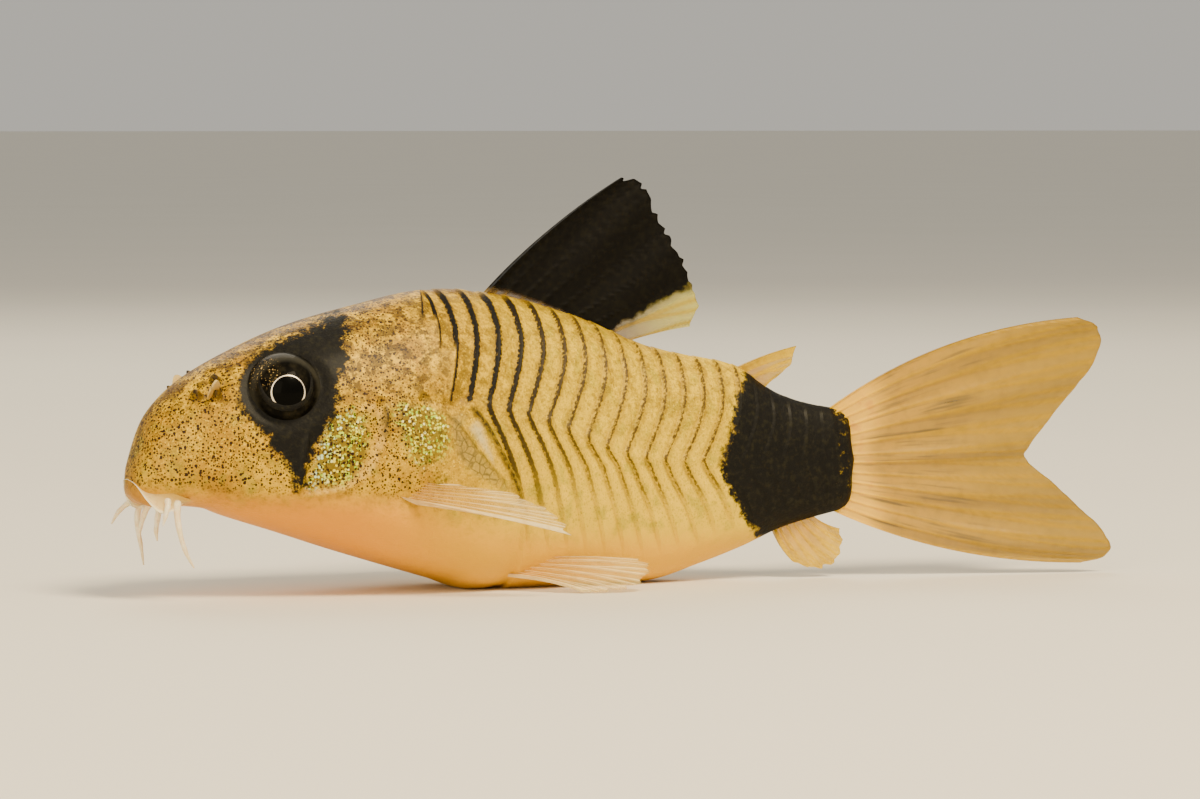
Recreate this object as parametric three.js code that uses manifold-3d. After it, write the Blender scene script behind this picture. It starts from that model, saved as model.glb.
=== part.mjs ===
// Panda corydoras, a small armoured catfish, life size and at rest on its belly and pelvic fins.
// Millimetres, +Z up. The snout points to -X and the fish's left side faces -Y. Stations are
// measured back from the snout tip and heights up from the floor. The finished group is shifted so
// that its origin is the middle of its bounding box's base.
import * as THREE from "three";
import { mergeVertices } from "three/addons/utils/BufferGeometryUtils.js";
import Module from "manifold-3d";

const wasm = await Module();
wasm.setup();

// Driving dimensions
const gap = 0.3; // between touching nodes
const headEnd = 11.5; // station of the gill opening, at the lateral line
const scuteStart = 14.7; // station of the first pair of scutes
const tailStart = 30.6; // station where the trunk gives way to the tail base
const tailEnd = 36.4; // station where the tail fin is rooted
const bendStart = 14; // the body is straight ahead of this station
const bendAngle = THREE.MathUtils.degToRad(12); // turn to the left of the tail's end
const scutePitch = 1.085; // length of a scute, twenty to a row
const scuteRise = 0.24; // height of a scute's free rear edge
const scuteDrop = 0.1; // length of the step behind that edge
const lateralGroove = 0.1; // depth of the seam between the two rows of scutes
const eyeRadius = 1.9;
const eyeSink = 1.05; // depth of the eyeball's centre under the skin

// Smooth value through [station, value] pairs. It is smooth in the square root of the station, so
// that a profile meets the snout tip squarely.
function profile(pairs) {
  const q = pairs.map(([x]) => Math.sqrt(x));
  const v = pairs.map(([, value]) => value);
  const step = q.slice(1).map((b, i) => b - q[i]);
  const slope = step.map((h, i) => (v[i + 1] - v[i]) / h);
  const tangent = v.map((_, i) => {
    if (i === 0) return slope[0];
    if (i === v.length - 1) return slope[i - 1];
    const [a, b] = [slope[i - 1], slope[i]];
    if (a * b <= 0) return 0;
    const [g, h] = [step[i - 1], step[i]];
    return (3 * (g + h)) / ((2 * h + g) / a + (h + 2 * g) / b);
  });
  return (x) => {
    const s = Math.sqrt(Math.max(x, 0));
    let i = 0;
    while (i < step.length - 1 && s > q[i + 1]) i++;
    const [h, t] = [step[i], Math.min((s - q[i]) / step[i], 1)];
    const [t2, t3] = [t * t, t * t * t];
    return (
      v[i] * (2 * t3 - 3 * t2 + 1) +
      tangent[i] * h * (t3 - 2 * t2 + t) +
      v[i + 1] * (3 * t2 - 2 * t3) +
      tangent[i + 1] * h * (t3 - t2)
    );
  };
}

// Body outline, each as [station, millimetres]
const noseHeight = 5.6;
const top = profile([
  [0, noseHeight], [0.3, 6.83], [1.01, 8.7], [1.66, 9.49], [2.67, 10.33], [5.2, 11.7], [8.2, 12.9],
  [11.3, 13.72], [15, 14.45], [17, 14.55], [19.1, 14.2], [23.4, 12.95], [26.5, 11.65], [28.6, 11.14],
  [30.2, 10.85], [31.3, 10.5], [32.3, 9.75], [33.3, 9.15], [34.8, 8.64], [36.5, 8.33],
]);
const bottom = profile([
  [0, noseHeight], [0.4, 4.75], [1.2, 4.42], [2.64, 4.35], [3.7, 4.22], [4.7, 3.85], [7.4, 2.98],
  [10.2, 2.05], [13.1, 1.15], [15.5, 0.42], [17, -0.05], [19, -0.1], [24.5, -0.1], [26.5, 0.05],
  [29.35, 0.86], [31.4, 1.6], [33.6, 2.56], [36.5, 3.35],
]);
const halfWidth = profile([
  [0, 0], [0.3, 1.15], [1, 1.9], [2.67, 2.75], [5.2, 3.6], [8.2, 4.35], [11.3, 4.85], [12.9, 4.95],
  [15, 4.85], [19, 4.4], [23.5, 3.6], [28.6, 2.45], [31.3, 1.85], [34.8, 1.15], [36.5, 0.85],
]);
const widestHeight = profile([
  [0, noseHeight], [1, 6], [3, 6.3], [6, 6.3], [9, 5.8], [12, 5.2], [15, 5.2], [20, 5.6], [25, 5.9],
  [36.5, 5.85],
]);
const upperPower = profile([[0, 2.1], [8, 2.1], [14, 1.9], [36.5, 1.9]]);
const lowerPower = profile([[0, 2.2], [8, 2.4], [14, 2.7], [26, 2.6], [32, 2.1], [36.5, 2]]);
const lateralHeight = profile([
  [0, noseHeight], [1, 6.6], [6, 8.4], [11.5, 9.1], [15.3, 9.04], [18.4, 8.64], [21.5, 7.6],
  [24.8, 6.4], [27.3, 6.05], [36.5, 5.85],
]);
// How far the rings of the body lean back from the lateral line, towards the back and the belly
const upperLean = profile([
  [0, 0], [6, 1.2], [headEnd, 3], [14.6, 1.05], [21, 1.55], [28, 1.4], [31, 1], [34, 0.4],
  [36.5, -0.2],
]);
const lowerLean = profile([
  [0, 0], [6, -0.3], [headEnd, -0.9], [14.6, 2.5], [22, 2.4], [31, 1.8], [34, 0.9], [36.5, -0.2],
]);

const signedPower = (value, power) => Math.sign(value) * Math.abs(value) ** power;
const smooth = (t) => THREE.MathUtils.smoothstep(t, 0, 1);

// Turns the straight fish to its resting curve: the tail swings a little to the left.
const curvature = Math.tan(bendAngle) / (tailEnd - bendStart);
function bent(x, y, z) {
  const past = Math.max(x - bendStart, 0);
  const bending = Math.min(past, tailEnd - bendStart);
  const slope = -curvature * bending;
  const offset = -curvature * (bending * bending * 0.5 + (past - bending) * bending);
  return new THREE.Vector3(x - y * slope, y + offset, z);
}

// A point of the skin before the body is bent: station, angle round the section (0 at the side and
// 90 degrees at the back) and height above the skin.
function skin(x, angle, lift = 0, side = 1) {
  const c = Math.cos(angle);
  const s = Math.sin(angle);
  const middle = widestHeight(x);
  const rise = (s > 0 ? top(x) - middle : middle - bottom(x)) + lift;
  const power = s > 0 ? upperPower(x) : lowerPower(x);
  const y = (halfWidth(x) + lift) * signedPower(Math.max(c, 0), 2 / power);
  return [x, side * y, middle + rise * signedPower(s, 2 / power)];
}

// Angle at which the section at x passes the lateral line.
function lateralAngle(x) {
  const share = (lateralHeight(x) - widestHeight(x)) / (top(x) - widestHeight(x));
  return Math.asin(THREE.MathUtils.clamp(share, 0, 0.6) ** (upperPower(x) / 2));
}

const lowerSteps = 8;
const upperSteps = 8;
const upperBow = 0.5; // share of the upper side over which a scute's edge leans back
const lowerBow = 4; // power by which the lean of the lower row settles below the lateral line
// One ring round the body. Its points lean along the lines of the scutes, with the two rows meeting
// in a forward-pointing angle on the lateral line.
function ring(station, lift) {
  const turn = lateralAngle(station);
  const half = [];
  for (let i = 0; i <= lowerSteps + upperSteps; i++) {
    const below = i < lowerSteps;
    const share = below ? 1 - i / lowerSteps : (i - lowerSteps) / upperSteps;
    const angle = below
      ? turn - share * (turn + Math.PI / 2)
      : turn + share * (Math.PI / 2 - turn);
    const risen = Math.sin((Math.min(share / upperBow, 1) * Math.PI) / 2);
    const curve = risen - 0.1 * smooth((share - 0.7) / 0.3);
    const blend = smooth((station - headEnd) / (scuteStart - headEnd));
    const lean = below
      ? lowerLean(station) * (1 - (1 - share) ** lowerBow)
      : upperLean(station) * THREE.MathUtils.lerp(share, curve, blend);
    half.push([station + lean, angle, lift(below ? -share : share)]);
  }
  const left = half.map(([x, angle, up]) => bent(...skin(x, angle, up, -1)));
  const right = half.slice(1, -1).map(([x, angle, up]) => bent(...skin(x, angle, up, 1)));
  return [...left, ...right.reverse()];
}

// A closed solid as a manifold. The faces are turned round where they point inwards.
function solid(points, faces) {
  const volume = faces.reduce(
    (sum, [a, b, c]) => sum + points[a].dot(points[b].clone().cross(points[c])) / 6,
    0,
  );
  const facing = volume < 0 ? faces.map(([a, b, c]) => [a, c, b]) : faces;
  return new wasm.Manifold(
    new wasm.Mesh({
      numProp: 3,
      vertProperties: new Float32Array(points.flatMap((p) => p.toArray())),
      triVerts: new Uint32Array(facing.flat()),
    }),
  );
}

// Skin over a row of equal closed rings, with a point in the middle of each end.
function loft(rings, firstPoint, lastPoint) {
  const count = rings[0].length;
  const points = rings.flat();
  const faces = [];
  for (let r = 0; r + 1 < rings.length; r++) {
    for (let k = 0; k < count; k++) {
      const a = r * count + k;
      const b = r * count + ((k + 1) % count);
      faces.push([a, b, b + count], [a, b + count, a + count]);
    }
  }
  const centre = (loop) =>
    loop.reduce((sum, p) => sum.add(p), new THREE.Vector3()).divideScalar(count);
  const first = points.push(firstPoint ?? centre(rings[0])) - 1;
  const last = points.push(lastPoint ?? centre(rings[rings.length - 1])) - 1;
  const lastRing = (rings.length - 1) * count;
  for (let k = 0; k < count; k++) {
    const next = (k + 1) % count;
    faces.push([first, next, k], [last, lastRing + k, lastRing + next]);
  }
  return solid(points, faces);
}

// A sheet with a front and a back, each a grid of points, closed round its edge.
function sheet(front, back) {
  const [columns, rows] = [front.length, front[0].length];
  const points = [...front.flat(), ...back.flat()];
  const size = columns * rows;
  const faces = [];
  for (let c = 0; c + 1 < columns; c++) {
    for (let r = 0; r + 1 < rows; r++) {
      const a = c * rows + r;
      const [b, d, e] = [a + rows, a + rows + 1, a + 1];
      faces.push([a, b, d], [a, d, e]);
      faces.push([a + size, d + size, b + size], [a + size, e + size, d + size]);
    }
  }
  const rim = [];
  for (let c = 0; c < columns - 1; c++) rim.push(c * rows);
  for (let r = 0; r < rows - 1; r++) rim.push((columns - 1) * rows + r);
  for (let c = columns - 1; c > 0; c--) rim.push(c * rows + rows - 1);
  for (let r = rows - 1; r > 0; r--) rim.push(r);
  rim.forEach((a, i) => {
    const b = rim[(i + 1) % rim.length];
    faces.push([b, a, a + size], [b, a + size, b + size]);
  });
  return solid(points, faces);
}

// A round, tapered tube along a smooth path, with closed ends.
function tube(path, radii, sides = 8, steps = 10) {
  const curve = new THREE.CatmullRomCurve3(path, false, "centripetal");
  const frames = curve.computeFrenetFrames(steps, false);
  const rings = [];
  for (let i = 0; i <= steps; i++) {
    const along = (i / steps) * (radii.length - 1);
    const j = Math.min(Math.floor(along), radii.length - 2);
    const radius = THREE.MathUtils.lerp(radii[j], radii[j + 1], along - j);
    const centre = curve.getPointAt(i / steps);
    const loop = [];
    for (let k = 0; k < sides; k++) {
      const angle = (2 * Math.PI * k) / sides;
      loop.push(
        centre
          .clone()
          .addScaledVector(frames.normals[i], radius * Math.cos(angle))
          .addScaledVector(frames.binormals[i], radius * Math.sin(angle)),
      );
    }
    rings.push(loop);
  }
  return loft(rings, curve.getPointAt(0), curve.getPointAt(1));
}

// A solid made from a closed three.js geometry.
function fromGeometry(geometry) {
  geometry.deleteAttribute("normal");
  geometry.deleteAttribute("uv");
  const merged = mergeVertices(geometry, 1e-4);
  const at = merged.getAttribute("position");
  const points = Array.from({ length: at.count }, (_, i) => new THREE.Vector3().fromBufferAttribute(at, i));
  const faces = [];
  for (let i = 0; i < merged.index.count; i += 3) faces.push([...merged.index.array.slice(i, i + 3)]);
  return solid(points, faces);
}

function ball(centre, radius, across = 20, down = 12, stretch = [1, 1, 1], turnY = 0) {
  const geometry = new THREE.SphereGeometry(radius, across, down);
  geometry.scale(...stretch);
  geometry.rotateY(turnY);
  geometry.translate(centre.x, centre.y, centre.z);
  return fromGeometry(geometry);
}

// A block whose outline is given in side view, reaching from one distance off the middle to another.
function sideBlock(outline, inner, outer, side) {
  const shape = new THREE.Shape(outline.map(([x, z]) => new THREE.Vector2(x, z)));
  const geometry = new THREE.ExtrudeGeometry(shape, { depth: outer - inner, bevelEnabled: false });
  geometry.rotateX(Math.PI / 2); // the outline's height becomes Z, and the depth runs to -Y
  geometry.translate(0, side < 0 ? -inner : outer, 0);
  return fromGeometry(geometry);
}

// A fin: each ray is a row of points from its root to its tip, raised as a ridge on the membrane.
// The membrane's edge is notched between the tips. Each side is offset along the sheet's own normal.
function fin(rays, { ridge, web, tip = 0.6, notch = 0.25, place = (p) => p }) {
  const columns = [];
  rays.forEach((ray, i) => {
    columns.push({ points: ray, half: ridge / 2 });
    if (i + 1 === rays.length) return;
    const between = ray.map((p, r) => {
      const middle = p.clone().add(rays[i + 1][r]).multiplyScalar(0.5);
      if (r + 1 < ray.length) return middle;
      const inner = ray[r - 1].clone().add(rays[i + 1][r - 1]).multiplyScalar(0.5);
      const back = inner.sub(middle);
      return middle.addScaledVector(back, Math.min(notch / back.length(), 0.6));
    });
    columns.push({ points: between, half: web / 2 });
  });
  const placed = columns.map(({ points }) => points.map(place));
  const [last, rows] = [placed.length - 1, placed[0].length];
  const normal = (c, r) => {
    const across = placed[Math.min(c + 1, last)][r].clone().sub(placed[Math.max(c - 1, 0)][r]);
    const along = placed[c][Math.min(r + 1, rows - 1)].clone().sub(placed[c][Math.max(r - 1, 0)]);
    return across.cross(along).normalize();
  };
  const face = (side) =>
    placed.map((points, c) =>
      points.map((p, r) => {
        const half = columns[c].half * THREE.MathUtils.lerp(1, tip, (r / (rows - 1)) ** 2);
        return p.clone().addScaledVector(normal(c, r), side * half);
      }),
    );
  return sheet(face(1), face(-1));
}

// Points from a root to a tip, bowed sideways by a share of the length in the plane of the fin.
function bowedRay(root, tip, bow, count, sideways) {
  const points = [];
  for (let i = 0; i < count; i++) {
    const t = i / (count - 1);
    points.push(root.clone().lerp(tip, t).addScaledVector(sideways, bow * 4 * t * (1 - t)));
  }
  return points;
}

// Skeleton rays of a median fin, which stands in the fish's middle plane
function medianRays(roots, tips, bows, count) {
  return roots.map(([x, z], i) => {
    const root = new THREE.Vector3(x, 0, z);
    const end = new THREE.Vector3(tips[i][0], 0, tips[i][1]);
    const across = new THREE.Vector3(root.z - end.z, 0, end.x - root.x).normalize();
    return bowedRay(root, end, bows[i] ?? bows[bows.length - 1], count, across);
  });
}

const inBody = (p) => bent(p.x, p.y, p.z);
const largest = (made) =>
  made.decompose().reduce((best, body) => (body.volume() > best.volume() ? body : best));

// Whole-body lofts
const plain = (lift) => () => lift;
function headLoft(lift, end = headEnd) {
  const stations = [0.06, 0.2, 0.42, 0.75, 1.2, 1.7, 2.3, 3, 3.8, 4.7, 5.6, 6.6, 7.6, 8.6, 9.6, 10.6];
  const rings = [...stations, end].map((x) => ring(x, plain(lift)));
  return loft(rings, new THREE.Vector3(-Math.max(lift, 0), 0, noseHeight));
}

// Share of the full height of a scute: none under the belly, little on the back's ridge
const scuteCover = (share) =>
  share < 0 ? 1 - smooth((-share - 0.35) / 0.25) : 1 - 0.8 * smooth((share - 0.75) / 0.25);

// Height of the scutes above the skin, with the seam between the two rows sunk
function scuteLift(raised) {
  return (share) => {
    const seam = 1 - smooth(Math.abs(share) / 0.09);
    return raised * scuteCover(share) * (1 - seam) - lateralGroove * seam;
  };
}

// Rings of a stretch of scutes: each plate rises from its front edge to a free rear edge.
function scuteRings(from, to) {
  const count = Math.round((to - from) / scutePitch);
  const pitch = (to - from) / count;
  const rings = [];
  for (let i = 0; i < count; i++) {
    rings.push(ring(from + i * pitch, scuteLift(0)));
    rings.push(ring(from + (i + 1) * pitch - scuteDrop, scuteLift(scuteRise)));
  }
  return rings;
}

function trunkLoft() {
  const shoulder = [headEnd + gap, 12.3, 12.9, 13.5, 14.1].map((x) => ring(x, plain(0)));
  return loft([...shoulder, ...scuteRings(scuteStart, tailStart)]);
}

function tailLoft() {
  return loft([...scuteRings(tailStart + gap - scuteDrop, tailEnd), ring(tailEnd, plain(0))]);
}

// The body swollen by a gap, which cuts the roots of what grows from it
const aroundStations = [
  0.06, 0.42, 1.2, 2.3, 3.8, 5.6, 7.6, 9.6, headEnd, 13.5, scuteStart, 16.5, 18.5, 20.5, 22.5, 24.5,
  26.5, 28.5, 30, 31, 32, 33, 34, 35, 36, tailEnd + gap,
];
const aroundLift = (x) => (share) =>
  gap + (x < scuteStart ? 0 : 0.9 * scuteRise * scuteCover(share));
const around = loft(
  aroundStations.map((x) => ring(x, aroundLift(x))),
  new THREE.Vector3(-gap, 0, noseHeight),
);

// Eyes
function eyeCentre(side) {
  const axis = new THREE.Vector3(-0.26, side * 0.92, 0.3).normalize();
  const skinPoint = new THREE.Vector3(6.75, side * 3.28, 10.12);
  return skinPoint.addScaledVector(axis, -eyeSink);
}
const eyeBack = 0.9; // each eyeball is cut flat this far from the middle of the head
const middleSlab = (half) => fromGeometry(new THREE.BoxGeometry(30, 2 * half, 30).translate(7, 0, 10));
const eye = (side) =>
  ball(eyeCentre(side), eyeRadius, 22, 14).subtract(middleSlab(eyeBack));
const socket = (side) =>
  ball(eyeCentre(side), eyeRadius + gap, 22, 14).subtract(middleSlab(eyeBack - gap));

// Gill covers: plates let into the sides of the head, open to the gill slit behind
const coverOutline = [
  [7.6, 8.3], [8.6, 9.3], [10.2, 9.75], [12.5, 9.75], [12.5, 4.9], [9.8, 4.9], [8.3, 5.15], [7.5, 6.1],
];
const coverCentre = [9.6, 7.4];
const widerOutline = coverOutline.map(([x, z]) => {
  const away = new THREE.Vector2(x - coverCentre[0], z - coverCentre[1]);
  away.setLength(away.length() + gap * 1.2);
  return [coverCentre[0] + away.x, coverCentre[1] + away.y];
});
const coverDepth = 0.7;
const coverRise = 0.12; // the plates stand this much proud of the head
const [coverInner, coverOuter] = [2, 7]; // distances from the middle of the head
const headInside = headLoft(-coverDepth, headEnd + 2);
const headDeeper = headLoft(-coverDepth - gap, headEnd + 2);
const gillCover = (side) =>
  largest(
    headLoft(coverRise)
      .intersect(sideBlock(coverOutline, coverInner, coverOuter, side))
      .subtract(headInside)
      .subtract(socket(side)),
  );
const gillPocket = (side) =>
  sideBlock(widerOutline, coverInner, coverOuter, side).subtract(headDeeper);

// Mouth: a soft hood hangs from the snout round a low opening, with the lower lip behind it
const bothSides = (points) =>
  [...points, ...points.slice(0, -1).reverse().map(([x, y, z]) => [x, -y, z])].map(
    (p) => new THREE.Vector3(...p),
  );
const hoodRoot = bothSides([
  [2.45, -1.9, 4.85], [1.9, -1.8, 5.1], [1.3, -1.55, 5.4], [0.85, -1.15, 5.65], [0.5, -0.6, 5.9],
  [0.4, 0, 6],
]);
const hoodRim = bothSides([
  [1.95, -1.85, 4.45], [1.4, -1.95, 4.25], [0.95, -1.88, 4.2], [0.5, -1.5, 4.7], [0.16, -0.8, 5.45],
  [0.1, 0, 5.65],
]);
const hoodThickness = 0.5;
function hood(swelling) {
  const rays = hoodRoot.map((root, i) => {
    const reach = hoodRim[i].clone().sub(root);
    const rim = hoodRim[i].clone().addScaledVector(reach.clone().normalize(), swelling);
    return [root, root.clone().lerp(rim, 0.5), rim];
  });
  const thickness = hoodThickness + 2 * swelling;
  return fin(rays, { ridge: thickness, web: thickness, tip: 1, notch: 0 });
}
const lipPath = bothSides([[2.1, -1.65, 4.45], [1.6, -1.15, 4.38], [1.2, -0.6, 4.4], [1.1, 0, 4.42]]);
const lipRadius = 0.3;
const lowerLip = (swelling) => tube(lipPath, [lipRadius + swelling, lipRadius + swelling], 8, 14);
const gape = ball(new THREE.Vector3(0.75, 0, 4.8), 1, 18, 10, [0.95, 1.35, 0.3], 0.3);

// Nostrils: a flap of skin standing between two openings on each side
const nostrilRadius = 0.42;
const flapHalves = [0.42, 0.4, 0.2]; // half the flap's length at its root, middle and tip
function nostrilFlap(side) {
  const root = new THREE.Vector3(3.57, side * 1.9, 9.5);
  const tip = new THREE.Vector3(3.43, side * 2.85, 10.4);
  const across = new THREE.Vector3(0.8, -side * 0.3, 0.5).normalize();
  const rays = [-1, 0, 1].map((k) =>
    flapHalves.map((half, i) =>
      root.clone().lerp(tip, i / 2).addScaledVector(across, half * k),
    ),
  );
  return fin(rays, { ridge: 0.5, web: 0.5, notch: 0 });
}
const nostril = (x, z, side) => ball(new THREE.Vector3(x, side * 2.62, z), nostrilRadius, 10, 8);

function makeHead() {
  let head = headLoft(0).subtract(gape).add(hood(0)).add(lowerLip(0));
  for (const side of [-1, 1]) {
    head = head.subtract(socket(side)).subtract(gillPocket(side));
    head = head.subtract(nostril(4.15, 10.2, side)).subtract(nostril(2.8, 9.5, side));
    head = head.add(nostrilFlap(side));
  }
  return largest(head);
}

// Floor: what lies lower is cut to a flat at height 0
const floorBlock = fromGeometry(new THREE.BoxGeometry(90, 60, 10).translate(20, 0, -5));
const onFloor = (made) => largest(made.subtract(floorBlock));
const rooted = (made) => largest(made.subtract(around));

// Dorsal fin: a stout spine and eight rays
const dorsalRoots = Array.from({ length: 9 }, (_, i) => 18 + 0.9 * i).map((x) => [x, top(x) - 0.7]);
const dorsalTips = [
  [25.4, 20], [26.35, 19.8], [26.9, 19.05], [27.35, 18], [27.9, 17], [28.5, 15.9], [29, 14.8],
  [29.35, 13.6], [28.9, 12.5],
];
const dorsalBows = [0.35, 0.3, 0.25, 0.2, 0.15, 0.1];
const dorsalFin = () =>
  fin(medianRays(dorsalRoots, dorsalTips, dorsalBows, 6), {
    ridge: 0.85, web: 0.5, place: inBody,
  });

// Adipose fin: a short spine with a flag of skin
const adiposeRoots = [[30.9, 9.9], [31.7, 9.3], [32.4, 8.9]];
const adiposeTips = [[34.3, 11.5], [33.9, 10.6], [33.2, 9.95]];
const adiposeFin = () =>
  fin(medianRays(adiposeRoots, adiposeTips, [0.12], 4), {
    ridge: 0.75, web: 0.5, notch: 0.05, place: inBody,
  });

// Tail fin: two lobes of seven rays each
const lobe = (roots, tips, bows) =>
  fin(medianRays(roots, tips, bows, 7), { ridge: 0.72, web: 0.5, tip: 0.7, place: inBody });
const lobeRoots = (from, to) =>
  Array.from({ length: 7 }, (_, i) => [tailEnd - 0.6, THREE.MathUtils.lerp(from, to, i / 6)]);
const upperTips = [
  [48.4, 12.85], [49.4, 12.45], [49.7, 11.6], [49.1, 10.3], [48.1, 9.1], [46.9, 7.6], [45.8, 6.2],
];
const lowerTips = [
  [48.6, 0.4], [49.8, 0.65], [50.2, 1.3], [49.5, 2.4], [48.3, 3.5], [47.1, 4.6], [45.8, 5.75],
];
const upperLobe = () =>
  lobe(lobeRoots(8.15, 6.0), upperTips, [0.95, 0.75, 0.5, 0.35, 0.2, 0.1, 0]);
const lowerLobe = () =>
  lobe(lobeRoots(3.5, 5.68), lowerTips, [-0.75, -0.6, -0.45, -0.3, -0.2, -0.1, 0]);

// Anal fin
const analStations = Array.from({ length: 7 }, (_, i) => 31.9 + 0.38 * i);
const analRoots = analStations.map((x) => [x, bottom(x) + 0.6]);
const analTips = [
  [33.5, 0.75], [34.5, 0.4], [35.4, 0.35], [36.1, 0.6], [36.5, 1.1], [36.6, 1.7], [36.3, 2.35],
];
const analFin = () =>
  fin(medianRays(analRoots, analTips, [-0.15], 5), { ridge: 0.72, web: 0.5, place: inBody });

// Paired fins, modelled on the left side as [station, distance from the middle, height]
const pairedRays = (root, spread, tips, bow, count, sideways) =>
  tips.map((tip, i) => {
    const along = new THREE.Vector3(...spread).multiplyScalar(i / (tips.length - 1));
    const from = new THREE.Vector3(...root).add(along);
    return bowedRay(from, new THREE.Vector3(...tip), bow, count, new THREE.Vector3(...sideways));
  });
const pectoralTips = [
  [19.6, -7.7, 2.95], [19.5, -7.65, 3.4], [19.1, -7.45, 3.8], [18.6, -7.15, 4.2], [18, -6.85, 4.55],
  [17.3, -6.5, 4.85], [16.5, -6.2, 5.05], [15.7, -5.95, 5.2],
];
const pectoralFin = fin(
  pairedRays([11.7, -4.4, 4.7], [1.2, 0.1, 0.8], pectoralTips, 0.9, 6, [0, -1, 0.1]),
  { ridge: 0.75, web: 0.5 },
);
const pelvicTips = [
  [21, -5.9, -0.15], [22, -6.3, -0.1], [23, -6.5, 0.05], [23.9, -6.45, 0.4], [24.6, -6.1, 0.85],
  [24.8, -5.6, 1.25], [24.4, -5.1, 1.55],
];
const pelvicFin = fin(
  pairedRays([17.9, -2.5, 0.75], [1.2, -0.4, 0.75], pelvicTips, 0.15, 6, [0, -0.6, 0.8]),
  { ridge: 0.7, web: 0.5 },
);

// Barbels: two at each corner of the mouth and one each side of the lower lip, each in its own pose
const barbelPaths = {
  outer_left: [[1.85, -1.8, 4.7], [1.78, -2.05, 3.95], [1.83, -2.35, 3.1], [2.4, -2.6, 1.6]],
  outer_right: [[1.7, 1.8, 4.7], [1.35, 2.25, 4.1], [1.4, 2.65, 3.3], [1.8, 2.9, 1.35]],
  inner_left: [[1.45, -1.65, 4.8], [1.3, -2, 4.45], [1.15, -2.15, 4.05], [0.98, -2.25, 3.4]],
  inner_right: [[1.35, 1.6, 4.8], [0.85, 2.1, 4.45], [0.4, 2.4, 4], [0.05, 2.5, 3.4]],
  chin_left: [[1.35, -0.75, 4.5], [1.2, -0.9, 3.9], [1.1, -0.95, 3.3], [1.15, -0.95, 2.8]],
  chin_right: [[1.35, 0.75, 4.5], [1.15, 0.9, 3.95], [1, 1, 3.35], [0.95, 1, 2.9]],
};
const barbelRadii = [0.3, 0.26, 0.22, 0.15];
const barbel = (path) =>
  tube(path.map((p) => new THREE.Vector3(...p)), barbelRadii, 8, 10);
const mouthFlesh = headLoft(gap).add(hood(gap)).add(hood(0)).add(lowerLip(gap));

const colours = {
  skin: 0xc9a765, band: 0x15140f, fin: 0xb9a468, clear: 0xdccaa0, eye: 0x0b0b0a,
};
function material(colour, roughness) {
  return new THREE.MeshStandardMaterial({ color: colour, roughness, metalness: 0 });
}

const fish = new THREE.Group();
const body = new THREE.Group();
fish.add(body);

// Adds a solid as a named mesh, mirrored to the fish's right side where asked.
function place(name, made, colour, roughness = 0.45, mirror = false) {
  const { numProp, vertProperties, triVerts } = made.getMesh();
  const count = vertProperties.length / numProp;
  const positions = new Float32Array(count * 3);
  for (let i = 0; i < count; i++) {
    positions.set(vertProperties.subarray(i * numProp, i * numProp + 3), i * 3);
  }
  const geometry = new THREE.BufferGeometry();
  geometry.setAttribute("position", new THREE.BufferAttribute(positions, 3));
  geometry.setIndex(new THREE.BufferAttribute(mirror ? triVerts.toReversed() : triVerts, 1));
  if (mirror) geometry.scale(1, -1, 1);
  geometry.computeVertexNormals();
  const mesh = new THREE.Mesh(geometry, material(colour, roughness));
  mesh.name = name;
  body.add(mesh);
}

function placePair(name, left, colour, roughness) {
  place(`${name}_left`, left, colour, roughness);
  place(`${name}_right`, left, colour, roughness, true);
}

place("head", makeHead(), colours.skin);
place("trunk", onFloor(trunkLoft()), colours.skin);
place("tail_base", largest(tailLoft()), colours.band);
for (const [word, side] of [["left", -1], ["right", 1]]) {
  place(`eye_${word}`, eye(side), colours.eye, 0.05);
  place(`gill_cover_${word}`, gillCover(side), colours.skin);
}
place("dorsal_fin", rooted(dorsalFin()), colours.band);
place("adipose_fin", rooted(adiposeFin()), colours.clear);
place("caudal_fin_upper_lobe", rooted(upperLobe()), colours.fin);
place("caudal_fin_lower_lobe", rooted(lowerLobe()), colours.fin);
place("anal_fin", rooted(analFin()), colours.clear);
placePair("pectoral_fin", rooted(pectoralFin), colours.clear, 0.35);
placePair("pelvic_fin", onFloor(rooted(pelvicFin)), colours.clear, 0.35);
for (const [word, path] of Object.entries(barbelPaths)) {
  place(`barbel_${word}`, largest(barbel(path).subtract(mouthFlesh)), colours.clear, 0.35);
}

const box = new THREE.Box3().setFromObject(fish);
const middle = box.getCenter(new THREE.Vector3());
body.position.set(-middle.x, -middle.y, -box.min.z);

export default fish;
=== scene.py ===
import functools
import math

import bpy
import numpy as np
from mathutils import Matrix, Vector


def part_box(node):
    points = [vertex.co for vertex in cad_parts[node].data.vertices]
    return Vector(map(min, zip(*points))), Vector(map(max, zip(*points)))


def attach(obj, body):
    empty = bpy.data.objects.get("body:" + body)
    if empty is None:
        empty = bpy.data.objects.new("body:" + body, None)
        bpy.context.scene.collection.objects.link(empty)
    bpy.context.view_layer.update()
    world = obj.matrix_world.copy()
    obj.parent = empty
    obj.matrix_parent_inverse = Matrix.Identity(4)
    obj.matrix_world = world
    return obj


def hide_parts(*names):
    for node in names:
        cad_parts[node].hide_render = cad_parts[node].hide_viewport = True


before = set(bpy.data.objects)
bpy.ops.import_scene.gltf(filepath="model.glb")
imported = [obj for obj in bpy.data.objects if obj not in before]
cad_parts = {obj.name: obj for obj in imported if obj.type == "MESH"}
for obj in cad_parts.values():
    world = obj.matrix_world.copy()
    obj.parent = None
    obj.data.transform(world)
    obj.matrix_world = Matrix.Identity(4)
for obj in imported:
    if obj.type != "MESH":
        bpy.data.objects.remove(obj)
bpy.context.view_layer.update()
mm = 0.001
print("packed model loaded")

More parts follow.
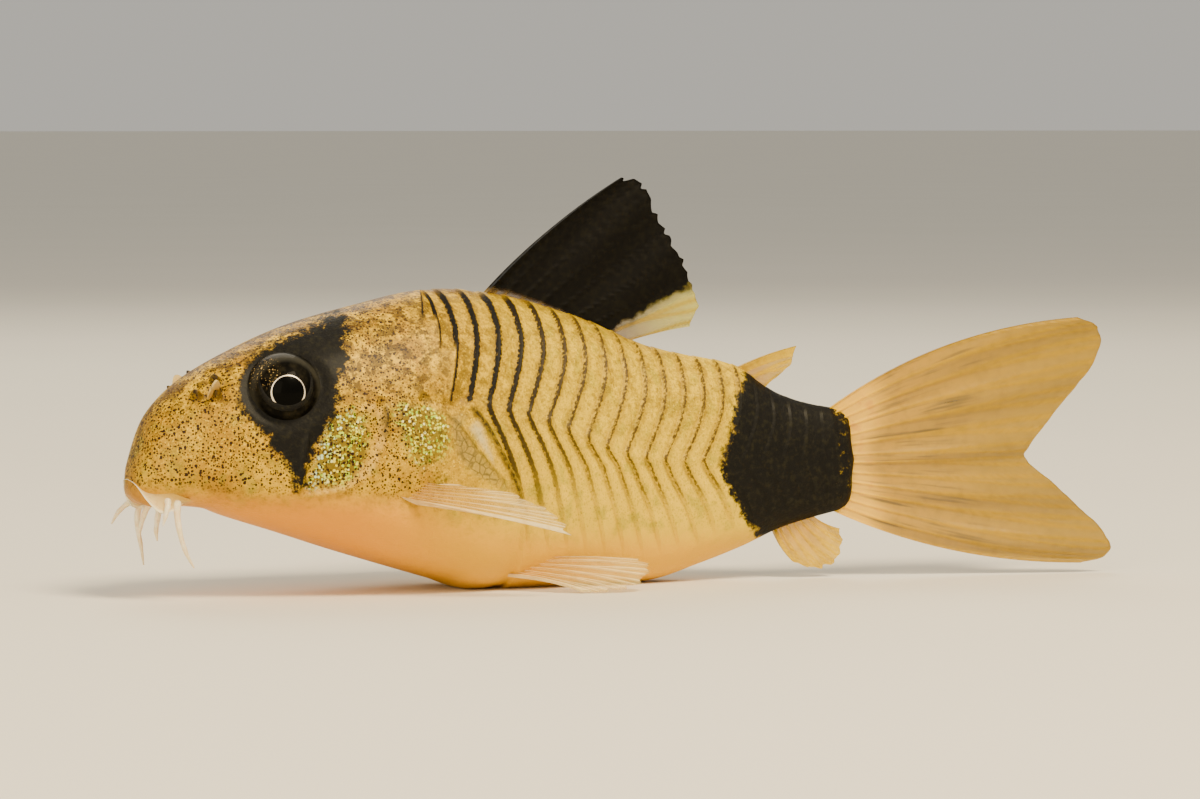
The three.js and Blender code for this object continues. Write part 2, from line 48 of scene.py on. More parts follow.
# The fish is laid out in millimetres: stations back from the snout tip, the left side towards -Y,
# heights up from the floor. The eyeballs' centres tie these to the frame.
eye = {
    "skin": (6.75, 3.28, 10.12),  # where the eye's axis leaves the head, on the right side
    "axis": (-0.26, 0.92, 0.3),
    "radius": 1.9,
    "sink": 1.05,  # depth of the centre under the skin
}


def eyeCentre(side):
    # the skin point moved inwards along the eye's axis
    axis = np.array(eye["axis"]) / np.linalg.norm(eye["axis"])
    return (np.array(eye["skin"]) - eye["sink"] * axis) * (1, side, 1)


leftEye = np.array([tuple(c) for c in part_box("eye_left")]) / mm
rightEye = np.array([tuple(c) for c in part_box("eye_right")]) / mm
shift = np.array([
    leftEye[:, 0].mean() - eyeCentre(-1)[0],
    (leftEye[0, 1] + rightEye[1, 1]) / 2,
    0,
])

# camera
shot = {
    "azimuth": -24,  # degrees round from looking along +Y
    "elevation": 3,
    "distance": 260,
    "target": (24.45, 0, 8.94),
    "width": 58.9,  # of the view, at the target
}


def makeCamera(s):
    turn, rise = math.radians(s["azimuth"]), math.radians(s["elevation"])
    back = np.array([math.sin(turn) * math.cos(rise), -math.cos(turn) * math.cos(rise), math.sin(rise)])
    data = bpy.data.cameras.new("camera")
    data.sensor_width = 36
    data.lens = 36 * s["distance"] / s["width"]
    data.clip_start = 0.01
    camera = bpy.data.objects.new("camera", data)
    camera.location = (np.array(s["target"]) + shift + back * s["distance"]) * mm
    camera.rotation_euler = (math.pi / 2 - rise, 0, turn)
    bpy.context.collection.objects.link(camera)
    bpy.context.scene.camera = camera


makeCamera(shot)


# number tools
def smooth(x, low, high):
    # eased step from 0 at low to 1 at high
    t = np.clip((x - low) / (high - low), 0, 1)
    return t * t * (3 - 2 * t)


def bump(distance, width):
    # bell curve: 1 at no distance and falling away over the width
    return np.exp(-(distance / width) ** 2)


def profile(pairs):
    # Smooth value through [station, value] pairs: cubic pieces in the square root of the station,
    # with slopes that never overshoot
    q = np.sqrt([p[0] for p in pairs])
    v = np.array([p[1] for p in pairs], float)
    step = np.diff(q)
    slope = np.diff(v) / step
    before, after = slope[:-1], slope[1:]
    early, late = step[:-1], step[1:]
    rising = before * after > 0
    safe = np.where(rising, before, 1), np.where(rising, after, 1)
    mean = 3 * (early + late) / ((2 * late + early) / safe[0] + (late + 2 * early) / safe[1])
    tangent = np.concatenate([slope[:1], np.where(rising, mean, 0), slope[-1:]])

    def value(x):
        s = np.sqrt(np.maximum(x, 0))
        i = np.clip(np.searchsorted(q, s) - 1, 0, len(step) - 1)
        t = np.minimum((s - q[i]) / step[i], 1)
        return (
            v[i] * (2 * t**3 - 3 * t**2 + 1) + tangent[i] * step[i] * (t**3 - 2 * t**2 + t)
            + v[i + 1] * (3 * t**2 - 2 * t**3) + tangent[i + 1] * step[i] * (t**3 - t**2)
        )
    return value


def through(points, t):
    # curve through the points (Catmull-Rom), at t counted in points
    p = np.asarray(points, float)
    p = np.vstack([2 * p[:1] - p[1:2], p, 2 * p[-1:] - p[-2:-1]])
    t = np.clip(t, 0, len(points) - 1)
    i = np.minimum(t.astype(int), len(points) - 2)
    f = (t - i)[..., None]
    a, b, c, d = p[i], p[i + 1], p[i + 2], p[i + 3]
    return b + 0.5 * f * (c - a + f * (2 * a - 5 * b + 4 * c - d + f * (3 * (b - c) + d - a)))


def curve(points, count=40):
    # the same curve as a row of points
    return through(points, np.linspace(0, len(points) - 1, count))


def lineDistance(points, line):
    # distance from each point to the nearest place on a broken line
    a, d = line[:-1], np.diff(line, axis=0)
    rel = points[..., None, :] - a
    t = np.clip((rel * d).sum(-1) / np.maximum((d * d).sum(-1), 1e-12), 0, 1)
    return np.linalg.norm(rel - t[..., None] * d, axis=-1).min(-1)


def edgeDistance(points, outline):
    # distance to a closed outline in side view, negative inside it
    ring = np.vstack([outline, outline[:1]])
    a, b = ring[:-1], ring[1:]
    x, z = points[..., 0, None], points[..., 1, None]
    spans = (a[:, 1] > z) != (b[:, 1] > z)
    height = np.where(spans, b[:, 1] - a[:, 1], 1)
    crossed = spans & (x < (b[:, 0] - a[:, 0]) * (z - a[:, 1]) / height + a[:, 0])
    inside = crossed.sum(-1) % 2 == 1
    return lineDistance(points, ring) * np.where(inside, -1, 1)


# body
body = {
    "nose": 5.6,  # height of the snout tip
    "headEnd": 11.5,
    "scuteStart": 14.7,
    "tailEnd": 36.4,
    "bendStart": 14,
    "bendAngle": 12,  # degrees that the tail's end turns to the left
    "scutes": 20,  # in a row from the shoulder to the tail fin
    "scuteRise": 0.2,  # free rear edge of a scute above the next one
}
scutePitch = (body["tailEnd"] - body["scuteStart"]) / body["scutes"]
top = profile([
    (0, 5.6), (0.3, 6.83), (1.01, 8.7), (1.66, 9.49), (2.67, 10.33), (5.2, 11.7), (8.2, 12.9),
    (11.3, 13.72), (15, 14.45), (17, 14.55), (19.1, 14.2), (23.4, 12.95), (26.5, 11.65), (28.6, 11.14),
    (30.2, 10.85), (31.3, 10.5), (32.3, 9.75), (33.3, 9.15), (34.8, 8.64), (36.5, 8.33),
])
bottom = profile([
    (0, 5.6), (0.4, 4.75), (1.2, 4.42), (2.64, 4.35), (3.7, 4.22), (4.7, 3.85), (7.4, 2.98),
    (10.2, 2.05), (13.1, 1.15), (15.5, 0.42), (17, -0.05), (19, -0.1), (24.5, -0.1), (26.5, 0.05),
    (29.35, 0.86), (31.4, 1.6), (33.6, 2.56), (36.5, 3.35),
])
halfWidth = profile([
    (0, 0), (0.3, 1.15), (1, 1.9), (2.67, 2.75), (5.2, 3.6), (8.2, 4.35), (11.3, 4.85), (12.9, 4.95),
    (15, 4.85), (19, 4.4), (23.5, 3.6), (28.6, 2.45), (31.3, 1.85), (34.8, 1.15), (36.5, 0.85),
])
widestHeight = profile([
    (0, 5.6), (1, 6), (3, 6.3), (6, 6.3), (9, 5.8), (12, 5.2), (15, 5.2), (20, 5.6), (25, 5.9),
    (36.5, 5.85),
])
upperPower = profile([(0, 2.1), (8, 2.1), (14, 1.9), (36.5, 1.9)])
lowerPower = profile([(0, 2.2), (8, 2.4), (14, 2.7), (26, 2.6), (32, 2.1), (36.5, 2)])
lateralHeight = profile([
    (0, 5.6), (1, 6.6), (6, 8.4), (11.5, 9.1), (15.3, 9.04), (18.4, 8.64), (21.5, 7.6), (24.8, 6.4),
    (27.3, 6.05), (36.5, 5.85),
])
upperLean = profile([
    (0, 0), (6, 1.2), (11.5, 3), (14.6, 1.05), (21, 1.55), (28, 1.4), (31, 1), (34, 0.4), (36.5, -0.2),
])
lowerLean = profile([
    (0, 0), (6, -0.3), (11.5, -0.9), (14.6, 2.5), (22, 2.4), (31, 1.8), (34, 0.9), (36.5, -0.2),
])


def bent(p):
    # turns the straight fish to its pose: an arc to the left behind the shoulder, then straight
    x, y, z = p[..., 0], p[..., 1], p[..., 2]
    reach = body["tailEnd"] - body["bendStart"]
    bend = math.tan(math.radians(body["bendAngle"])) / reach
    past = np.maximum(x - body["bendStart"], 0)
    turning = np.minimum(past, reach)
    offset = -bend * (turning**2 / 2 + (past - turning) * turning)
    return np.stack([x + y * bend * turning, y + offset, z], -1)


def section(x, angle, side):
    # superellipse section: width by a power of the cosine, height by a power of the sine
    s = np.sin(angle)
    middle = widestHeight(x)
    rise = np.where(s > 0, top(x) - middle, middle - bottom(x))
    power = np.where(s > 0, upperPower(x), lowerPower(x))
    y = halfWidth(x) * np.maximum(np.cos(angle), 0) ** (2 / power)
    return np.stack([x, side * y, middle + rise * np.sign(s) * np.abs(s) ** (2 / power)], -1)


def bodySurface(station, share, side):
    # Rings carried along the fish. share runs from -1 under the belly over 0 on the lateral line to
    # 1 on the back, and each ring leans back along the edges of the scutes.
    level = (lateralHeight(station) - widestHeight(station)) / np.maximum(
        top(station) - widestHeight(station), 1e-6)
    turn = np.arcsin(np.clip(level, 0, 0.6) ** (upperPower(station) / 2))
    away = np.abs(share)
    angle = turn + np.where(share < 0, -away * (turn + math.pi / 2), away * (math.pi / 2 - turn))
    bow = np.sin(np.minimum(away / 0.5, 1) * math.pi / 2) - 0.1 * smooth(away, 0.7, 1)
    blend = smooth(station, body["headEnd"], body["scuteStart"])
    upper = upperLean(station) * (away + (bow - away) * blend)
    lower = lowerLean(station) * (1 - (1 - away) ** 4)
    return section(station + np.where(share < 0, lower, upper), angle, side)


def surfaceNormals(p, closed):
    # cross product of the steps along the two directions of a grid
    along = np.gradient(p, axis=0)
    if closed:
        across = (np.roll(p, -1, axis=1) - np.roll(p, 1, axis=1)) / 2
    else:
        across = np.gradient(p, axis=1)
    n = np.cross(along, across)
    return n / np.maximum(np.linalg.norm(n, axis=-1, keepdims=True), 1e-9)


# mesh tools
def makePiece(name, points, faces, values, material, nodes):
    # points in fish millimetres, faces as rows of indices, values as named numbers per point
    mesh = bpy.data.meshes.new(name)
    mesh.from_pydata(((points + shift) * mm).tolist(), [], faces)
    for word, numbers in values.items():
        layer = mesh.attributes.new(word, "FLOAT", "POINT")
        layer.data.foreach_set("value", np.ascontiguousarray(numbers, np.float32).ravel())
    mesh.polygons.foreach_set("use_smooth", np.ones(len(mesh.polygons), bool))
    mesh.materials.append(material)
    mesh.update()
    piece = bpy.data.objects.new(name, mesh)
    bpy.context.collection.objects.link(piece)
    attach(piece, "root")
    if nodes:
        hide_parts(*nodes)


def gridFaces(rows, columns, closed=False, start=0, flip=False):
    # four-sided faces between neighbouring rows and columns of a grid
    r, c = np.meshgrid(np.arange(rows - 1), np.arange(columns if closed else columns - 1), indexing="ij")
    a = start + r * columns + c
    b = start + r * columns + (c + 1) % columns
    quad = np.stack([a, b, b + columns, a + columns], -1).reshape(-1, 4)
    return (quad[:, ::-1] if flip else quad).tolist()


def fanFaces(ring, tip, flip):
    # triangles from a closed ring of indices to one point
    nxt = np.roll(ring, -1)
    tri = np.stack([ring, nxt, np.full_like(ring, tip)], -1)
    return (tri[:, ::-1] if flip else tri).tolist()


def tubeFaces(rows, columns, flip):
    # faces of closed rings in a row and of two points after them, one before the rings and one behind
    size = rows * columns
    first = np.arange(columns)
    faces = gridFaces(rows, columns, closed=True, flip=flip)
    faces += fanFaces(first, size, not flip)
    return faces + fanFaces(first + size - columns, size + 1, flip)


def rimFaces(rows, columns, size):
    # strip that joins the edges of a front and a back grid
    first = np.arange(columns)
    right = np.arange(rows) * columns + columns - 1
    last = (rows - 1) * columns + np.arange(columns)[::-1]
    left = np.arange(rows)[::-1] * columns
    loop = np.concatenate([first[:-1], right[:-1], last[:-1], left[:-1]])
    nxt = np.roll(loop, -1)
    return np.stack([nxt, loop, loop + size, nxt + size], -1).tolist()


# shader tools
def linear(hexColour):
    # sRGB hex to linear colour
    parts = [int(hexColour[i:i + 2], 16) / 255 for i in (1, 3, 5)]
    return [c / 12.92 if c <= 0.04045 else ((c + 0.055) / 1.055) ** 2.4 for c in parts] + [1]


# The nodes in use by their words: Blender's kind, the inputs or properties in the order in which
# they're given, the output that comes back, and what is set where a call doesn't say otherwise. The
# size of a texture is that of its forms, in millimetres.
nodeWords = {
    "value": ("ShaderNodeAttribute", ["attribute_name"], "Fac", {}),
    "place": ("ShaderNodeTexCoord", [], "Object", {}),
    "noise": ("ShaderNodeTexNoise", ["size", "Detail", "Roughness"], "Fac",
              {"Detail": 3, "Roughness": 0.55, "Vector": ["place"]}),
    "cells": ("ShaderNodeTexVoronoi", ["size", "feature"], None, {"Vector": ["place"]}),
    "channels": ("ShaderNodeSeparateColor", ["Color"], None, {}),
    "vector": ("ShaderNodeCombineXYZ", ["X", "Y"], 0, {}),
    "step": ("ShaderNodeMapRange", ["Value", "From Min", "From Max", "To Min", "To Max"], 0,
             {"interpolation_type": "SMOOTHSTEP"}),
    "mix": ("ShaderNodeMix", [0, 6, 7], 2, {"data_type": "RGBA"}),
    "bump": ("ShaderNodeBump", ["Strength", "Distance", "Height"], 0, {}),
    "shader": ("ShaderNodeBsdfPrincipled", [], 0, {"Subsurface Scale": 1}),
    "surface": ("ShaderNodeOutputMaterial", [0], None, {}),
}
for word in ("add", "subtract", "multiply", "divide", "maximum", "minimum", "absolute", "fract", "sine"):
    nodeWords[word] = ("ShaderNodeMath", [0, 1], 0, {"operation": word.upper()})


def addNode(tree, word, *given, **named):
    # Adds the node that a word stands for, sets its properties, and fills or links its inputs. A list
    # stands for a node of its own, and a text for a hex colour or for a number that the points carry.
    kind, order, output, preset = nodeWords[word]
    node = tree.nodes.new(kind)
    for name, value in {**preset, **dict(zip(order, given)), **named}.items():
        if name == "size":
            name, value = "Scale", 1 / (value * mm)
        if hasattr(node, str(name)):
            setattr(node, name, value)
            continue
        if isinstance(value, list):
            value = addNode(tree, *value)
        elif isinstance(value, str):
            value = linear(value) if value[0] == "#" else addNode(tree, "value", value)
        if isinstance(value, bpy.types.NodeSocket):
            tree.links.new(value, node.inputs[name])
        else:
            node.inputs[name].default_value = value
    return node if output is None else node.outputs[output]


def newMaterial(name):
    # a material without nodes, and the function that adds one to it
    material = bpy.data.materials.new(name)
    material.use_nodes = True
    material.node_tree.nodes.clear()
    return material, functools.partial(addNode, material.node_tree)


def tint(colour, over, *masks):
    # lays a colour over another where all the masks are 1
    amount = masks[0]
    for mask in masks[1:]:
        amount = ["multiply", amount, mask]
    return addNode(colour.id_data, "mix", amount, colour, over)


def soft(weight, *reach):
    # flesh that lets light in, with the reach of red, green and blue in it in millimetres
    return {"Subsurface Weight": weight, "Subsurface Radius": tuple(r * mm for r in reach)}


# skin
skin = {
    "headRings": 165,
    "round": 218,  # points round a ring
    "scuteRings": (0, 0.04, 0.1, 0.2, 0.31, 0.42, 0.53, 0.64, 0.74, 0.83, 0.9),
    "closing": ((0.25, 0.93), (0.5, 0.8), (0.7, 0.6), (0.8, 0.3)),  # reach and size of each ring
    "bellyFree": (0.34, 0.56),  # share of the lower side over which the scutes fade
}
relief = {  # height and width of each form in millimetres, with a negative height for a sunk one
    "rowSeam": (-0.12, 0.03),
    "gillCover": (0.17, 1.6),
    "gillStep": (-0.16, 0.14),
    "gillSlit": (-0.25, 0.07),
    "slitRim": (0.12, 0.2),
    "cheekSeam": (-0.05, 0.1),
    "shoulderFront": (-0.07, 0.12),
    "shoulderRear": (-0.14, 0.1),
    "shoulderPlate": (0.14, 0.8),
    "eyeRim": (0.12, 0.3),
    "nostrilRim": (0.08, 0.12),
    "nostrilPit": (-0.42, 0.17),
    "lowerLip": (0.3, 0.26),
    "mouth": (-0.3, 0.42),
    "pectoralRoot": (0.22, 0.5),
    "nape": (0.12, 0.9),
}
marks = {
    "eyeMask": [
        (6.1, 11.8), (8.2, 12.65), (10.4, 13.5), (10.55, 12.9), (9.96, 12.06), (10.1, 11.3), (9.5, 10.6),
        (9.25, 9.57), (8.81, 8.55), (8.17, 7.58), (7.7, 6.64), (7.5, 5.5), (7.05, 5.15), (6.7, 6.14),
        (6.0, 6.99), (5.65, 7.79), (5.0, 8.4), (4.6, 9.15), (5.07, 10.02), (5.4, 10.98),
    ],
    "tailBand": [
        (31.9, 11), (31.2, 9.8), (30.6, 8.58), (30.35, 7.28), (29.8, 5.73), (30.2, 4.68), (30.8, 3.6),
        (31.9, 2.3), (33.6, 1.5), (36.3, 2.4), (36.5, 4.4), (36.55, 5.7), (36.5, 6.9), (36.3, 8.3),
        (35.6, 9.4), (33.5, 10.2),
    ],
    "gillEdge": [
        (10.4, 9.2), (11.1, 9.1), (11.35, 8.6), (11.3, 7.7), (10.95, 6.9), (10.4, 6), (9.2, 5.25),
        (7.4, 4.95), (5.6, 4.75),
    ],
    "gillSlit": [(11.42, 8.9), (11.33, 7.7)],
    "cheekPlate": [(8.1, 9.2), (7.75, 8.6), (7.5, 7.2), (7.35, 6), (7.2, 5.1)],
    "shoulderFront": [(14.2, 9.2), (14.7, 8.5), (15.25, 8), (16.1, 6.95), (17.15, 5.8), (18.2, 4.9)],
    "shoulderRear": [(15.95, 8.95), (16.15, 8.7), (16.7, 8.05), (17.7, 6.3), (18.3, 5.1), (18.55, 4.3)],
    "shoulderPlate": [
        (11, 9.8), (13.6, 9.6), (15.9, 9.0), (16.7, 8.05), (17.7, 6.3), (18.3, 5.1), (18.55, 4.3),
        (18.7, 3), (18.7, -2), (0, -2), (0, 9),
    ],
    "shoulderFlash": [(15.6, 8.05), (16.35, 8.4), (16.75, 7.4), (17.15, 6.1), (16.7, 6.5), (16.05, 7.3)],
    "shoulderNet": [
        (14.6, 8.6), (15.9, 8.8), (15.3, 7.95), (17.1, 5.9), (18.2, 4.7), (17.1, 5.1), (15.8, 5.7),
        (14.9, 6.6), (14.7, 7.6),
    ],
    "cheekSparkle": [
        (9, 8.9), (9.6, 9.15), (10.7, 8.9), (10.8, 8.2), (10.6, 7.1), (10.1, 6.1), (9.5, 5.5), (8.6, 5.2),
        (7.5, 5.2), (7.2, 5.8), (7.7, 6.7), (8.2, 7.7),
    ],
    "shoulderSparkle": [
        (12, 8.5), (11.7, 9.2), (12.8, 9.45), (13.9, 9.3), (14.6, 8.3), (14.7, 7.1), (14.3, 6.5),
        (13.2, 6.3), (12.4, 6.4), (11.9, 7.1),
    ],
    "pectoralRoot": [(11.3, 4.7), (12.3, 4.85), (13.5, 5.2)],
}
lips = {
    "inside": [(1.9, -1.5, 4.6), (1.2, -0.95, 4.75), (0.6, -0.5, 5.05), (0.45, 0, 5.2)],
    "lower": [(2.2, -1.7, 4.3), (1.6, -1.15, 4.25), (1.2, -0.6, 4.3), (1.1, 0, 4.32)],
}
nostrils = {"front": (2.9, 9.7), "rear": (3.86, 10.38), "low": (3.7, 9.7)}


def bothSides(points):
    # a line drawn on the left side and carried over to the right
    p = np.array(points, float)
    return curve(np.vstack([p, (p * (1, -1, 1))[-2::-1]]), 60)


def swell(word, distance):
    # a form's height, falling away over its width
    height, width = relief[word]
    return height * bump(distance, width)


def markDistance(side, word, count):
    # distance to the rounded outline of a mark, negative inside it
    return edgeDistance(side, curve(marks[word] + marks[word][:1], count))


def skinRelief(p, station, share):
    # height of every raised and sunk form of the skin in millimetres, and the numbers that the
    # skin's material reads
    side = p[..., [0, 2]]
    x, y, z = p[..., 0], p[..., 1], p[..., 2]
    scute = (station - body["scuteStart"]) / scutePitch
    phase = scute - np.floor(scute)
    away = np.abs(share)
    cover = np.where(share < 0, 1 - smooth(away, *skin["bellyFree"]), 1 - 0.8 * smooth(away, 0.8, 1))
    # two short scutes stand ahead of the full rows, on the nape only, and the lower row starts
    # behind the shoulder plate
    lowest = np.where(scute < -1.02, 0.5, 0.28)
    nape = smooth(share, lowest, lowest + 0.1) * (scute > -2.05)
    plateAway = edgeDistance(side, np.array(marks["shoulderPlate"]))
    behind = np.where(share < 0.02, smooth(plateAway, 0.1, 0.22), 1)
    cover = cover * np.where(scute < -0.06, nape, 1) * behind * (station < body["tailEnd"] - 0.02)
    plate = np.where(phase < 0.9, (phase / 0.9) ** 0.7, (1 - phase) / 0.1)
    bandAway = markDistance(side, "tailBand", 90)
    height = body["scuteRise"] * cover * plate * (0.3 + 0.7 * smooth(bandAway, -0.5, 0.1))
    height += swell("rowSeam", share) * smooth(scute, 0.3, 0.9) * smooth(station, 31, 27)
    # gill cover, free along its rear edge, and the plates of cheek and shoulder
    gill = curve(marks["gillEdge"], 60)
    cheek = curve(marks["cheekPlate"], 20)
    coverAway = edgeDistance(side, np.vstack([gill, cheek[::-1]]))
    eyeSpots = [np.array(eye["skin"]) * (1, turned, 1) for turned in (1, -1)]
    eyeAway = np.minimum(*[np.linalg.norm(p - spot, axis=-1) for spot in eyeSpots])
    rear = smooth(x, 6.2, 7.7) * smooth(eyeAway, 2.3, 3) * smooth(z, 9.3, 8.4)
    height += swell("gillCover", np.minimum(coverAway, 0)) * smooth(coverAway, 0, -0.16) * rear
    height += swell("gillStep", np.maximum(coverAway, 0) + (coverAway < 0)) * rear
    slit = lineDistance(side, np.array(marks["gillSlit"]))
    height += swell("gillSlit", slit) + swell("slitRim", np.abs(slit - 0.3) + (x > 11.4))
    height += swell("cheekSeam", lineDistance(side, cheek)) * rear
    front = lineDistance(side, curve(marks["shoulderFront"]))
    back = lineDistance(side, curve(marks["shoulderRear"]))
    height += swell("shoulderFront", front) + swell("shoulderRear", back)
    height += swell("shoulderPlate", plateAway) * (x > 13.2) * (plateAway < 0)
    # eye socket: a soft rim, and skin drawn in under the eyeball
    height += swell("eyeRim", eyeAway - 1.75) - 0.55 * smooth(eyeAway, 1.5, 1.2)
    # nostrils
    upper = smooth(np.abs(y), 0.8, 1.1)
    pits = np.zeros_like(x)
    for pitX, pitZ in nostrils.values():
        reach = np.hypot(x - pitX, z - pitZ)
        height += upper * (swell("nostrilRim", reach - 0.3) + swell("nostrilPit", reach))
        pits = np.maximum(pits, upper * bump(reach, 0.17))
    # hollow of the mouth under the lip hood, and the lower lip behind it
    inside = lineDistance(p, bothSides(lips["inside"]))
    lowerLip = lineDistance(p, bothSides(lips["lower"]))
    height += swell("lowerLip", lowerLip) + swell("mouth", inside)
    # root of the pectoral fin, and the bony shield that swells before the dorsal fin
    height += swell("pectoralRoot", lineDistance(side, curve(marks["pectoralRoot"], 20)))
    height += swell("nape", np.hypot(x - 17.6, (z - 14.5) * 1.2))
    inkEnd = np.interp(station, [16, 20, 27], [0.4, 0.26, 0.2])
    inkFade = 1 - smooth(away, inkEnd * 0.4, inkEnd * 1.2)
    numbers = {
        "scute": scute,
        "share": share,
        "inked": cover * np.where(share < 0, inkFade, 1),
        "maskAway": markDistance(side, "eyeMask", 120),
        "bandAway": bandAway,
        "cheekAway": markDistance(side, "cheekSparkle", 50),
        "shoulderAway": markDistance(side, "shoulderSparkle", 50),
        "flashAway": markDistance(side, "shoulderFlash", 40),
        "netAway": edgeDistance(side, np.array(marks["shoulderNet"])),
        "gillInk": bump(slit, 0.11),
        "gillFold": bump(lineDistance(side, gill) + 0.25, 0.5) * (coverAway < 0) * smooth(x, 7, 9),
        "shoulderInk": np.maximum(bump(front, 0.09) * 0.7, bump(back, 0.14)) * smooth(z, 9.1, 8.8),
        "lip": bump(lowerLip, 0.45),
        "mouth": bump(inside, 0.5),
        "pit": pits,
        "bellyDepth": z - bottomEdge(x),
        "station": x,
        "eyeAway": eyeAway,
        "height": z,
    }
    return height, numbers


def bottomEdge(x):
    # height of the line along which the side's colour gives way to the plain belly
    return np.interp(x, [0, 2, 5, 9, 12, 16, 20, 26, 31], [4.9, 4.9, 4.6, 4.7, 4.3, 3.2, 2.6, 2.3, 2.2])


def ringStations():
    # closer rings at the snout, and steps on every scute's edge
    first = body["scuteStart"] - 2 * scutePitch
    early = np.linspace(math.sqrt(0.02), math.sqrt(first), skin["headRings"]) ** 2
    edges = body["scuteStart"] + scutePitch * np.arange(-2, body["scutes"])
    late = (edges[:, None] + scutePitch * np.array(skin["scuteRings"])).ravel()
    return np.concatenate([early[:-1], late])


def makeSkin(material):
    half = skin["round"] // 2 + 1
    leftShare = np.linspace(-1, 1, half)
    share = np.concatenate([leftShare, leftShare[::-1][1:-1]])
    side = np.concatenate([-np.ones(half), np.ones(half - 2)])
    s, w = np.meshgrid(ringStations(), share, indexing="ij")
    p = bodySurface(s, w, side[None, :])
    normals = -surfaceNormals(p, True)
    height, numbers = skinRelief(p, s, w)
    p = p + normals * height[..., None]
    p[..., 2] = np.maximum(p[..., 2], 0)
    # the last rings close in on the root of the tail fin
    end = p[-1]
    middle = end.mean(0)
    extra = [
        middle + (end - middle) * (1, size, 0.5 + 0.5 * size) + (reach, 0, 0)
        for reach, size in skin["closing"]
    ]
    p = np.concatenate([p, np.array(extra)])
    for word in numbers:
        numbers[word] = np.concatenate([numbers[word], np.repeat(numbers[word][-1:], len(extra), 0)])
    snout = np.array([[0, 0, body["nose"]]])
    points = np.vstack([bent(p).reshape(-1, 3), bent(snout), bent(p[-1:].mean(1))])
    values = {word: np.append(n.ravel(), [n[0].mean(), n[-1].mean()]) for word, n in numbers.items()}
    nodes = ["head", "trunk", "tail_base", "gill_cover_left", "gill_cover_right"]
    makePiece("skin", points, tubeFaces(*p.shape[:2], True), values, material, nodes)


